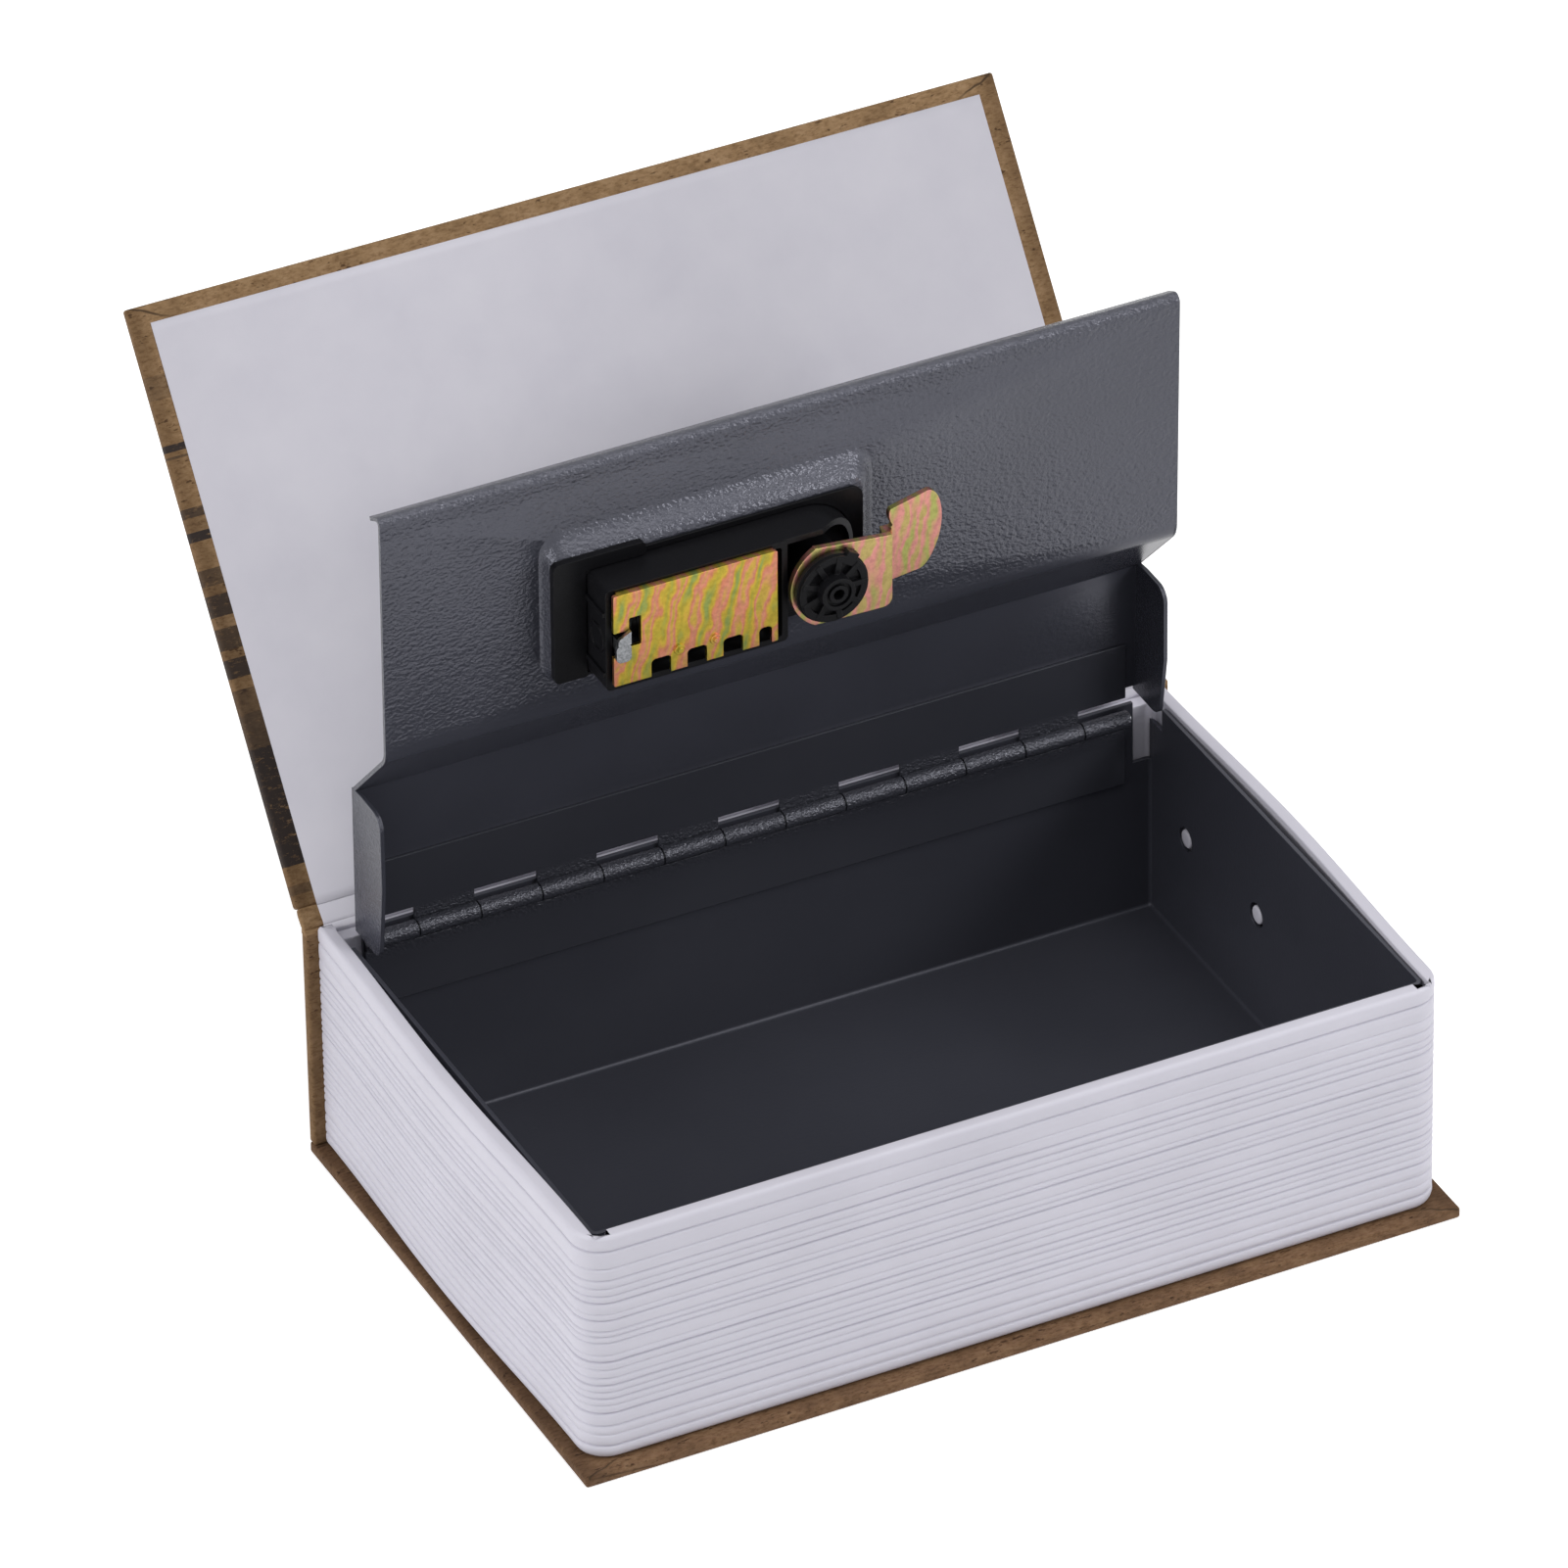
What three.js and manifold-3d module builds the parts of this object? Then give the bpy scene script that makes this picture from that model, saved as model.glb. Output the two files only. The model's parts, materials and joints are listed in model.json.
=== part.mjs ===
// A book diversion safe: a steel cash tray with a combination lock, hidden in a hollow book.
// The book lies on its back cover with the spine at the back (+Y) and the fore edge in front (-Y).
// Both the front cover and the steel inner lid stand open.
// Origin: middle of the back cover's underside. Units: millimetres.

import * as THREE from 'three';
import { mergeVertices } from 'three/addons/utils/BufferGeometryUtils.js';
import Module from 'manifold-3d';

const wasm = await Module();
wasm.setup();

// Driving sizes of the book
const bookLength = 180;          // head to tail, along the spine
const bookDepth = 118.4;         // spine to fore edge
const blockTop = 52;             // height of the page block's rim above the table
const coreThickness = 1.8;       // grey board inside each cover
const kraftThickness = 0.2;      // covering paper
const endpaperThickness = 0.15;
const pasteGap = 0.1;
const turnIn = 14;               // kraft paper folded over each board's inner face
const overhang = 2.2;            // boards past the page block at head and tail
const foreOverhang = 2.9;        // boards past the page block at the fore edge
const spineTop = 50.9;

// Driving sizes of the page block
const blockWall = 2.7;
const blockCorner = 6;
const blockLift = 0.1;           // page block above the endpaper
const backWallDrop = 2.6;        // the back wall ends below the hinge's barrel
const ridgePitch = 1.87;
const ridgeDepth = 0.42;
const plainBand = 4.1;           // smooth band under the rim
const rimBand = 0.9;
const rimRound = 0.7;
const cornerSlotWidth = 2.2;
const cornerSlotDepth = 1.4;
const cornerSlotDrop = 3;
const pegDiameter = 4.6;
const pegHoleClearance = 0.5;
const pegHeight = 27.4;
const pegProud = 0.6;
const pegFromFore = [66.6, 95];

// Driving sizes of the steel tray
const steel = 0.8;
const trayGap = 0.25;            // all round between page block and tray
const trayBelowRim = 0.8;
const trayCorner = 1.6;
const trayFloorGap = 0.2;
const backSlotWidth = 3.8;
const backSlotDrop = 13.7;
const sideNotchLength = 5.4;
const sideNotchDrop = 5;

// Driving sizes of the hinge
const hingeAxisBelowRim = 2.65;
const knuckleRadius = 1.75;
const leafThickness = 0.6;
const leafGap = 0.05;
const pinClearance = 0.2;
const lidLeafWidth = 16.2;
const trayLeafWidth = 15.6;
const hingeInset = 2.2;          // lid past the hinge at each end
const hingeShift = -0.9;         // the hinge sits a little to the left on the lid
const knuckleCount = 13;
const endKnuckleShare = 0.786;   // of a full knuckle
const knuckleGap = 0.3;
const windowTop = 4;
const rollSweep = THREE.MathUtils.degToRad(305);

// Driving sizes of the lid, measured from the hinge axis
const lidSideGap = 2.65;
const lidFrontGap = 0.9;
const lidBottom = 5.8;
const lidOpen = 88.7;            // degrees from shut, as it stands
const joggleStart = 33.4;
const joggleEnd = 49.2;
const joggleDepth = 14.6;
const tightBend = 1.1;
const wideBend = 5;
const lipLength = 4.4;
const lipAngle = 62;
const flangeDepth = 12.4;        // at the joggle
const flangeTaper = 1.5;         // less at the hinge
const leftFlangeBottom = 1.4;
const rightFlangeBottom = 4.6;
const flangeRound = 3.4;

// Driving sizes of the lock pan pressed into the lid
const panLeft = -50;
const panRight = 18;
const panBelowKnob = 16.4;
const panAboveKnob = 17.1;
const panDepth = 4.1;
const panSlope = { left: 1.7, right: 4.3, bottom: 3.5, top: 5 };
const panCorner = 5;
const panFloorCorner = 2.4;
const windowMargin = 1.3;

// Driving sizes of the lock
const fit = 0.2;
const bezelThickness = 2;
const bezelMargin = 1.4;         // bezel inside the pan's slopes
const housingLeft = -43;
const housingRight = -6.1;
const housingDepth = 9.2;        // past the pan's inner face
const housingWall = 1.2;
const lowDepth = 1.5;            // low part round the knob
const lowCorner = 9.8;
const ribHeight = 1;
const ribProud = 0.5;
const ribSpread = 6.6;
const dialRadius = 6.4;
const dialWidth = 5.2;
const dialPitch = 7.3;
const dialCount = 4;
const firstDial = -32.6;
const dialProud = 0.8;
const dialGrooves = 10;
const dialGrooveRadius = 0.7;
const sleeveRadius = 2.6;
const sleeveClearance = 0.08;
const collarRadius = 3.6;
const collarWidth = 1.4;
const gateWidth = 1.6;
const gateDepth = 1.1;
const axleRadius = 1.5;
const fingerWidth = 0.8;
const plateThickness = 0.8;
const plateStandoff = 0.6;       // the plate's top and right edges are bent back by this
const plateRim = 1;
const plateInset = { left: 0.9, right: 2.8, bottom: 1.7, top: 0.5 };
const notchWidth = 4;
const notchHeight = 3.7;
const rivetRadius = 1.1;
const clipThickness = 1.5;
const frameThickness = 0.6;
const clipOverhang = 1.5;
const tabLength = 11.4;
const leverWidth = 2.4;          // of the stem, along the slot
const leverThickness = 0.8;
const leverHead = 3.1;

// Driving sizes of the knob and cam
const knobX = 1.3;
const knobHeight = 72.3;         // from the hinge axis
const knobRadius = 8;
const knobSkirt = 2.4;
const knobTall = 13.6;
const knobGripWidth = 4.4;
const shaftRadius = 3;
const shaftClearance = 0.3;
const camThickness = 1.2;
const camAbovePan = 10.3;
const camEndRadius = 9.5;
const camFold = 12.8;            // shaft to the fold in the plate
const camStep = 4.8;
const camHalf = 8.5;             // half the plate's height at the shaft
const tongueReach = 25.4;
const retainerRadius = 7.3;
const retainerThickness = 0.9;
const retainerRim = 0.7;
const retainerTeeth = 9;
const barrelRadius = 3.4;
const barrelLength = 3.6;

// Driving sizes of the keeper and the cover's joint
const keeperWidth = 18;
const keeperReach = 14.4;
const keeperThickness = 1.2;
const keeperAboveTongue = 0.7;
const keeperLeg = 12;
const keeperBend = 1.4;
const coverOpen = 126;           // degrees from shut, as it stands
const jointWidth = 3;
const jointThickness = 0.6;
const jointEndGap = 0.3;
const jointBoardGap = 0.35;
const coverAboveRim = 0.7;
const endpaperMargin = 4;

const boardThickness = coreThickness + 2 * (kraftThickness + pasteGap);
const blockLength = bookLength - 2 * overhang;
const foreEdge = -bookDepth / 2 + foreOverhang;
const spineInner = bookDepth / 2 - boardThickness;
const blockBack = spineInner - 0.1;
const blockBottom = boardThickness + pasteGap + endpaperThickness + blockLift;
const trayX = blockLength / 2 - blockWall - trayGap;
const trayFront = foreEdge + blockWall + trayGap;
const trayBack = blockBack - blockWall - trayGap;
const trayTop = blockTop - trayBelowRim;
const trayBottom = blockBottom + trayFloorGap;
const hingeY = trayBack - steel - leafGap - knuckleRadius;
const hingeZ = blockTop - hingeAxisBelowRim;
const pinRadius = knuckleRadius - leafThickness - pinClearance;
const lidWidth = 2 * (trayX - steel - lidSideGap);
const lidLength = hingeY - (trayFront + steel) - lidFrontGap;
const hingeLength = lidWidth - 2 * hingeInset;
const knucklePitch = hingeLength / (knuckleCount - 2 + 2 * endKnuckleShare);
const lidOuter = -(knuckleRadius + leafGap);         // inner face of the hinge part, towards the book's inside
const plateOuter = lidOuter - steel + joggleDepth;   // outer face of the lock part
const plateInner = plateOuter + steel;
const panOuterFace = plateOuter + panDepth;
const panInnerFace = panOuterFace + steel;
const bezelOuter = panOuterFace - fit - bezelThickness;
const panBottom = knobHeight - panBelowKnob;
const panTop = knobHeight + panAboveKnob;
const faceLeft = panLeft + panSlope.left;
const faceRight = panRight - panSlope.right;
const faceBottom = panBottom + panSlope.bottom;
const faceTop = panTop - panSlope.top;
const housingBottom = faceBottom + windowMargin + fit;
const housingTop = faceTop - windowMargin - fit;
const lowRight = knobX + lowCorner;
const lowFace = panInnerFace + lowDepth;
const dialAxisDepth = bezelOuter - dialProud + dialRadius;
const dialAxisHeight = knobHeight - 1.2;
const housingFace = panInnerFace + housingDepth;
const plateFace = housingFace + 0.1 + plateStandoff + plateThickness;
const plateLeft = housingLeft + plateInset.left;
const plateRight = housingRight - plateInset.right;
const plateBottom = housingBottom + plateInset.bottom;
const plateTop = housingTop - plateInset.top;
const camDepth = panInnerFace + camAbovePan;
const tongueDepth = camDepth - camStep;

const degrees = THREE.MathUtils.degToRad;

// Solids

function solid(geometry) {
  const plain = geometry.clone();
  plain.deleteAttribute('normal');
  plain.deleteAttribute('uv');
  const merged = mergeVertices(plain, 1e-4);
  const vertProperties = new Float32Array(merged.attributes.position.array);
  const triVerts = new Uint32Array(merged.index.array);
  return new wasm.Manifold(new wasm.Mesh({ numProp: 3, vertProperties, triVerts }));
}

function geometryOf(manifold) {
  const mesh = manifold.getMesh();
  const geometry = new THREE.BufferGeometry();
  geometry.setAttribute('position', new THREE.BufferAttribute(new Float32Array(mesh.vertProperties), 3));
  geometry.setIndex(new THREE.BufferAttribute(new Uint32Array(mesh.triVerts), 1));
  const faceted = geometry.toNonIndexed();
  faceted.computeVertexNormals();
  return faceted;
}

function box(x0, x1, y0, y1, z0, z1) {
  const geometry = new THREE.BoxGeometry(x1 - x0, y1 - y0, z1 - z0);
  geometry.translate((x0 + x1) / 2, (y0 + y1) / 2, (z0 + z1) / 2);
  return solid(geometry);
}

function joined(parts) {
  return parts.reduce((whole, piece) => whole.add(piece));
}

function cutBy(body, cutters) {
  return cutters.reduce((whole, cutter) => whole.subtract(cutter), body);
}

// Extrusions: along Z from a plan, along X from an end view (y, z), and inwards (-Y) from a front view (x, z)
const alongX = new THREE.Matrix4().makeBasis(
  new THREE.Vector3(0, 1, 0), new THREE.Vector3(0, 0, 1), new THREE.Vector3(1, 0, 0));
const inwards = new THREE.Matrix4().makeBasis(
  new THREE.Vector3(1, 0, 0), new THREE.Vector3(0, 0, 1), new THREE.Vector3(0, -1, 0));

function extruded(shape, from, to, basis, curveSegments = 8) {
  const geometry = new THREE.ExtrudeGeometry(shape, { depth: to - from, bevelEnabled: false, curveSegments });
  geometry.translate(0, 0, from);
  if (basis) geometry.applyMatrix4(basis);
  return solid(geometry);
}

function endView(shape, x0, x1) {
  return extruded(shape, x0, x1, alongX);
}

function frontView(shape, n0, n1, curveSegments) {
  return extruded(shape, n0, n1, inwards, curveSegments);
}

function roundedRectangle(x0, x1, y0, y1, radius) {
  const shape = new THREE.Shape();
  shape.moveTo(x0 + radius, y0);
  shape.lineTo(x1 - radius, y0);
  shape.absarc(x1 - radius, y0 + radius, radius, -Math.PI / 2, 0);
  shape.absarc(x1 - radius, y1 - radius, radius, 0, Math.PI / 2);
  shape.absarc(x0 + radius, y1 - radius, radius, Math.PI / 2, Math.PI);
  shape.absarc(x0 + radius, y0 + radius, radius, Math.PI, 1.5 * Math.PI);
  return shape;
}

function disc(x, y, radius) {
  const shape = new THREE.Shape();
  shape.absarc(x, y, radius, 0, 2 * Math.PI);
  return shape;
}

function polygon(points) {
  return new THREE.Shape(points.map(([x, y]) => new THREE.Vector2(x, y)));
}

// A closed skin through rings of equally many points, with flat ends
function loft(rings) {
  const count = rings[0].length;
  const positions = rings.flat(2);
  const index = [];
  for (let level = 0; level + 1 < rings.length; level += 1) {
    for (let i = 0; i < count; i += 1) {
      const a = level * count + i;
      const b = level * count + (i + 1) % count;
      index.push(a, b, b + count, a, b + count, a + count);
    }
  }
  const flat = (ring) => ring.map(([x, y]) => new THREE.Vector2(x, y));
  const last = (rings.length - 1) * count;
  for (const [a, b, c] of THREE.ShapeUtils.triangulateShape(flat(rings[0]), [])) index.push(a, c, b);
  for (const [a, b, c] of THREE.ShapeUtils.triangulateShape(flat(rings.at(-1)), [])) {
    index.push(last + a, last + b, last + c);
  }
  const geometry = new THREE.BufferGeometry();
  geometry.setAttribute('position', new THREE.Float32BufferAttribute(positions, 3));
  geometry.setIndex(index);
  return solid(geometry);
}

// Ring of a rectangle with rounded corners, at height z, counterclockwise from above
function rectangleRing(x0, x1, y0, y1, radii, z, steps) {
  const corners = [
    [x1 - radii[0], y0 + radii[0], -90, radii[0]],
    [x1 - radii[1], y1 - radii[1], 0, radii[1]],
    [x0 + radii[1], y1 - radii[1], 90, radii[1]],
    [x0 + radii[0], y0 + radii[0], 180, radii[0]],
  ];
  const ring = [];
  for (const [cx, cy, start, radius] of corners) {
    for (let i = 0; i <= steps; i += 1) {
      const angle = degrees(start + 90 * i / steps);
      ring.push([cx + radius * Math.cos(angle), cy + radius * Math.sin(angle), z]);
    }
  }
  return ring;
}

// Outline of a bent sheet: a centre line with rounded corners, thickened to both sides
function bentSheet(points, radii, thickness) {
  const line = [new THREE.Vector2(...points[0])];
  const steps = 6;
  for (let i = 1; i + 1 < points.length; i += 1) {
    const radius = radii[i - 1];
    const corner = new THREE.Vector2(...points[i]);
    const back = new THREE.Vector2(...points[i - 1]).sub(corner).normalize();
    const ahead = new THREE.Vector2(...points[i + 1]).sub(corner).normalize();
    const half = Math.acos(THREE.MathUtils.clamp(back.dot(ahead), -1, 1)) / 2;
    const reach = radius / Math.tan(half);
    const centre = back.clone().add(ahead).normalize().multiplyScalar(radius / Math.sin(half)).add(corner);
    const start = corner.clone().addScaledVector(back, reach).sub(centre);
    const turn = Math.PI - 2 * half;
    const sign = Math.sign(back.x * ahead.y - back.y * ahead.x);
    for (let k = 0; k <= steps; k += 1) {
      line.push(start.clone().rotateAround(new THREE.Vector2(), -sign * turn * k / steps).add(centre));
    }
  }
  line.push(new THREE.Vector2(...points.at(-1)));
  return thickened(line, thickness);
}

function thickened(line, thickness) {
  const sides = [[], []];
  line.forEach((point, i) => {
    const before = line[Math.max(i - 1, 0)];
    const after = line[Math.min(i + 1, line.length - 1)];
    const along = after.clone().sub(before).normalize();
    const across = new THREE.Vector2(-along.y, along.x).multiplyScalar(thickness / 2);
    sides[0].push(point.clone().add(across));
    sides[1].unshift(point.clone().sub(across));
  });
  return new THREE.Shape([...sides[0], ...sides[1]]);
}

// Meshes

const safe = new THREE.Group();
const lidGroup = new THREE.Group();
lidGroup.position.set(0, hingeY, hingeZ);
lidGroup.rotation.x = degrees(90 - lidOpen);
safe.add(lidGroup);

function addPiece(parent, name, manifold, finish) {
  const material = new THREE.MeshStandardMaterial(finish);
  const mesh = new THREE.Mesh(geometryOf(manifold), material);
  mesh.name = name;
  parent.add(mesh);
  return mesh;
}

const kraft = { color: 0x8f7454, roughness: 0.85, metalness: 0 };
const greyBoard = { color: 0x9a948a, roughness: 0.95, metalness: 0 };
const whitePaper = { color: 0xdedce6, roughness: 0.8, metalness: 0 };
const whitePlastic = { color: 0xe6e4ee, roughness: 0.5, metalness: 0 };
const coatedSteel = { color: 0x46484e, roughness: 0.45, metalness: 0.3 };
const bareSteel = { color: 0xa8aaad, roughness: 0.35, metalness: 1 };
const blackPlastic = { color: 0x16161a, roughness: 0.4, metalness: 0 };
const chromatedSteel = { color: 0xc8b06a, roughness: 0.3, metalness: 1 };

// Covers: each board is grey board wrapped in kraft paper that is folded over its inner face

function coverCore(x0, x1, y0, y1, z0) {
  const skin = kraftThickness + pasteGap;
  return box(x0 + skin, x1 - skin, y0 + skin, y1 - skin, z0 + skin, z0 + skin + coreThickness);
}

// The wrap lies under the board, turns up round the edges and ends in a margin on top; past the
// open edge it has no wall, because there it runs on to the next board.
function coverWrap(x0, x1, y0, y1, z0, openBack) {
  const top = z0 + boardThickness;
  const past = openBack ? kraftThickness : 0;
  const wrap = box(x0, x1, y0, y1, z0, top);
  const hollow = box(x0 + kraftThickness, x1 - kraftThickness, y0 + kraftThickness,
    y1 - kraftThickness + 2 * past, z0 + kraftThickness, top - kraftThickness);
  const face = box(x0 + turnIn, x1 - turnIn, y0 + turnIn, y1 - turnIn + (openBack ? 2 * turnIn : 0),
    z0 + boardThickness / 2, top + kraftThickness);
  return cutBy(wrap, [hollow, face]);
}

function addCase() {
  const x = bookLength / 2;
  const y = bookDepth / 2;
  addPiece(safe, 'back_board', coverCore(-x, x, -y, y, 0), greyBoard);
  addPiece(safe, 'back_board_kraft', coverWrap(-x, x, -y, y, 0, true), kraft);
  const endpaper = box(-blockLength / 2 + 1, blockLength / 2 - 1, foreEdge + 1, blockBack,
    boardThickness + pasteGap, boardThickness + pasteGap + endpaperThickness);
  addPiece(safe, 'back_endpaper', endpaper, whitePaper);

  const spine = new THREE.Group();
  spine.position.set(0, bookDepth / 2, boardThickness + 0.1);
  spine.rotation.x = Math.PI / 2;
  safe.add(spine);
  const spineHeight = spineTop - boardThickness - 0.1;
  addPiece(spine, 'spine_board', coverCore(-x, x, 0, spineHeight, 0), greyBoard);
  addPiece(spine, 'spine_kraft', coverWrap(-x, x, 0, spineHeight, 0, false), kraft);
}

// Page block: one moulded frame whose outside imitates the edges of the pages

function blockLevels() {
  const levels = [[blockBottom, -1.1], [blockBottom + 0.5, -0.35], [blockBottom + 1.2, 0]];
  const grooves = [];
  const plainTop = blockTop - rimBand;
  let z = plainTop - plainBand;
  for (let i = 0; z > blockBottom + 1.6; i += 1) {
    grooves.unshift([z, i]);
    z -= ridgePitch * (1 + 0.3 * Math.sin(2.3 * i + 0.6) + 0.14 * Math.sin(5.1 * i));
  }
  for (const [grooveZ, i] of grooves) {
    const depth = ridgeDepth * (0.75 + 0.35 * Math.sin(3.7 * i + 2));
    const swell = 0.18 * Math.sin(1.3 * i);
    levels.push([grooveZ - 0.24, swell], [grooveZ, swell - depth], [grooveZ + 0.2, swell - 0.1]);
  }
  levels.push([plainTop - 0.25, 0.05], [plainTop, -0.35], [plainTop + 0.2, 0.05]);
  levels.push([blockTop - rimRound, 0.1]);
  levels.push([blockTop - 0.3 * rimRound, 0.1 - 0.3 * rimRound]);
  levels.push([blockTop, 0.1 - rimRound]);
  return levels;
}

function pageBlock() {
  const half = blockLength / 2;
  const rings = blockLevels().map(([z, out]) => rectangleRing(
    -half - out, half + out, foreEdge - out, blockBack, [blockCorner + out, 0.6], z, 6));
  const hollowX = half - blockWall;
  const hollow = box(-hollowX, hollowX, foreEdge + blockWall, blockBack - blockWall,
    blockBottom - 1, blockTop + 1);
  const cutters = [hollow, box(-hollowX, hollowX, blockBack - blockWall - 1, blockBack + 1,
    blockTop - backWallDrop, blockTop + 1)];
  for (const side of [-1, 1]) {
    const x = side * (hollowX - cornerSlotWidth / 2);
    cutters.push(box(x - cornerSlotWidth / 2, x + cornerSlotWidth / 2,
      foreEdge + blockWall - cornerSlotDepth, foreEdge + blockWall + 1,
      blockTop - cornerSlotDrop, blockTop + 1));
  }
  const pegs = [];
  for (const side of [-1, 1]) {
    for (const y of pegFromFore) {
      pegs.push(peg(side, foreEdge + y));
    }
  }
  return joined([cutBy(loft(rings), cutters), ...pegs]);
}

// A short domed peg on the page block's inner wall, which the tray's wall snaps over
function peg(side, y) {
  const length = trayGap + steel + pegProud;
  const radius = pegDiameter / 2;
  const profile = [[0, -1], [radius, -1], [radius, length - 0.5], [0.72 * radius, length - 0.1], [0, length]];
  const geometry = new THREE.LatheGeometry(profile.map(([r, h]) => new THREE.Vector2(r, h)), 20);
  geometry.rotateZ(side * Math.PI / 2);
  geometry.translate(side * (blockLength / 2 - blockWall), y, pegHeight);
  return solid(geometry);
}

// Tray: one folded steel box with its corners cut away behind, where the lid's flanges swing

function tub(x0, x1, y0, y1, z0, z1, radius) {
  const rings = [];
  const steps = 4;
  for (let i = 0; i <= steps; i += 1) {
    const angle = Math.PI / 2 * i / steps;
    const inset = radius * (1 - Math.sin(angle));
    const corner = Math.max(radius - inset, 0.05);
    rings.push(rectangleRing(x0 + inset, x1 - inset, y0 + inset, y1 - inset, [corner, corner],
      z0 + radius * (1 - Math.cos(angle)), 4));
  }
  rings.push(rectangleRing(x0, x1, y0, y1, [radius, radius], z1, 4));
  return loft(rings);
}

function tray() {
  const outside = tub(-trayX, trayX, trayFront, trayBack, trayBottom, trayTop, trayCorner);
  const inside = tub(-trayX + steel, trayX - steel, trayFront + steel, trayBack - steel,
    trayBottom + steel, trayTop + 1, trayCorner - steel);
  const cutters = [inside];
  for (const side of [-1, 1]) {
    const x0 = side * (trayX - steel - backSlotWidth);
    const x1 = side * (trayX - steel + 0.05);
    cutters.push(box(Math.min(x0, x1), Math.max(x0, x1), trayBack - steel - 1, trayBack + 1,
      trayTop - backSlotDrop, trayTop + 1));
    const wall0 = side * (trayX - steel - 1);
    const wall1 = side * (trayX + 1);
    cutters.push(box(Math.min(wall0, wall1), Math.max(wall0, wall1), trayBack - sideNotchLength,
      trayBack + 1, trayTop - sideNotchDrop, trayTop + 1));
    for (const y of pegFromFore) {
      const hole = new THREE.CylinderGeometry(pegDiameter / 2 + pegHoleClearance / 2,
        pegDiameter / 2 + pegHoleClearance / 2, 6, 20);
      hole.rotateZ(Math.PI / 2);
      hole.translate(side * trayX, foreEdge + y, pegHeight);
      cutters.push(solid(hole));
    }
  }
  return cutBy(outside, cutters);
}

// Keeper: an angle on the tray's front wall that the cam's tongue turns under
function keeper() {
  const tongueTop = hingeZ - tongueDepth;
  const z0 = tongueTop + keeperAboveTongue;
  const y0 = trayFront + steel + 0.1;
  const half = keeperWidth / 2;
  const shape = bentSheet([
    [y0 + keeperThickness / 2, z0 - keeperLeg],
    [y0 + keeperThickness / 2, z0 + keeperThickness / 2],
    [y0 + keeperReach, z0 + keeperThickness / 2],
  ], [keeperBend], keeperThickness);
  return endView(shape, knobX - half, knobX + half);
}

// Hinge: two leaves rolled round one pin, with their knuckles in turn

function knuckleSpans(onTray) {
  const spans = [];
  let x = hingeShift - hingeLength / 2;
  for (let i = 0; i < knuckleCount; i += 1) {
    const isEnd = i === 0 || i === knuckleCount - 1;
    const next = x + (isEnd ? endKnuckleShare : 1) * knucklePitch;
    if ((i % 2 === 0) === onTray) spans.push([x + knuckleGap / 2, next - knuckleGap / 2]);
    x = next;
  }
  return spans;
}

// A leaf seen from the end: flat behind the axis, then rolled round the pin; upward is 1 or -1
function knuckleOutline(upward) {
  const radius = knuckleRadius - leafThickness / 2;
  const line = [new THREE.Vector2(radius, upward * (windowTop + 1))];
  const steps = 22;
  for (let i = 0; i <= steps; i += 1) {
    const angle = -upward * rollSweep * i / steps;
    line.push(new THREE.Vector2(radius * Math.cos(angle), radius * Math.sin(angle)));
  }
  return thickened(line, leafThickness);
}

function hingeLeaf(onTray, upward, strip) {
  const y0 = knuckleRadius - leafThickness;
  const low = upward > 0 ? strip : -trayLeafWidth;
  const high = upward > 0 ? lidLeafWidth : -strip;
  const parts = [box(hingeShift - hingeLength / 2, hingeShift + hingeLength / 2, y0, knuckleRadius, low, high)];
  for (const [x0, x1] of knuckleSpans(onTray)) {
    parts.push(endView(knuckleOutline(upward), x0, x1));
  }
  return joined(parts);
}

function hingePin() {
  const length = hingeLength + 0.6;
  const geometry = new THREE.CylinderGeometry(pinRadius, pinRadius, length, 16);
  geometry.rotateZ(Math.PI / 2);
  geometry.translate(hingeShift, 0, 0);
  return solid(geometry);
}

// Lid: one pressed sheet. In the lid's own frame the hinge axis is the origin, +Z runs to the free
// edge, and -Y is the side that faces into the tray when the lid is shut.

function lidOutline() {
  const mid = -(lidOuter - steel / 2);
  const plateMid = mid - joggleDepth;
  const lip = degrees(lipAngle);
  return bentSheet([
    [mid, lidBottom],
    [mid, joggleStart],
    [plateMid, joggleEnd],
    [plateMid, lidLength - steel / 2],
    [plateMid + lipLength * Math.sin(lip), lidLength - steel / 2 - lipLength * Math.cos(lip)],
  ], [tightBend, wideBend, tightBend], steel);
}

function flange(side) {
  const y1 = -(lidOuter - steel);
  const topY = y1 - flangeDepth;
  const bottomY = topY + flangeTaper;
  const top = joggleStart - 1;
  const bottom = side < 0 ? leftFlangeBottom : rightFlangeBottom;
  const shape = new THREE.Shape();
  shape.moveTo(y1, bottom);
  shape.lineTo(y1, top + 1.4);
  shape.lineTo(topY + 2 * flangeRound, top - 1.6 * flangeRound);
  shape.quadraticCurveTo(topY, top - 2.6 * flangeRound, topY + 0.1, top - 4 * flangeRound);
  shape.lineTo(bottomY, bottom + flangeRound);
  shape.quadraticCurveTo(bottomY, bottom, bottomY + flangeRound, bottom);
  const x = side * lidWidth / 2;
  return endView(shape, Math.min(x, x - side * steel), Math.max(x, x - side * steel));
}

// The pressed pan, as a solid from the lid's plate inwards with softly curved slopes; grow offsets it
function panFrustum(nearDepth, farDepth, grow) {
  const rings = [];
  const steps = 6;
  for (let i = 0; i <= steps; i += 1) {
    const share = i / steps;
    const rise = share - 0.09 * Math.sin(2 * Math.PI * share);
    const corner = THREE.MathUtils.lerp(panCorner, panFloorCorner, share) + grow;
    rings.push(rectangleRing(
      panLeft + panSlope.left * share - grow, panRight - panSlope.right * share + grow,
      panBottom + panSlope.bottom * share - grow, panTop - panSlope.top * share + grow,
      [corner, corner], nearDepth + (farDepth - nearDepth) * rise, 4));
  }
  return solid(loftInwards(rings));
}

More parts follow.
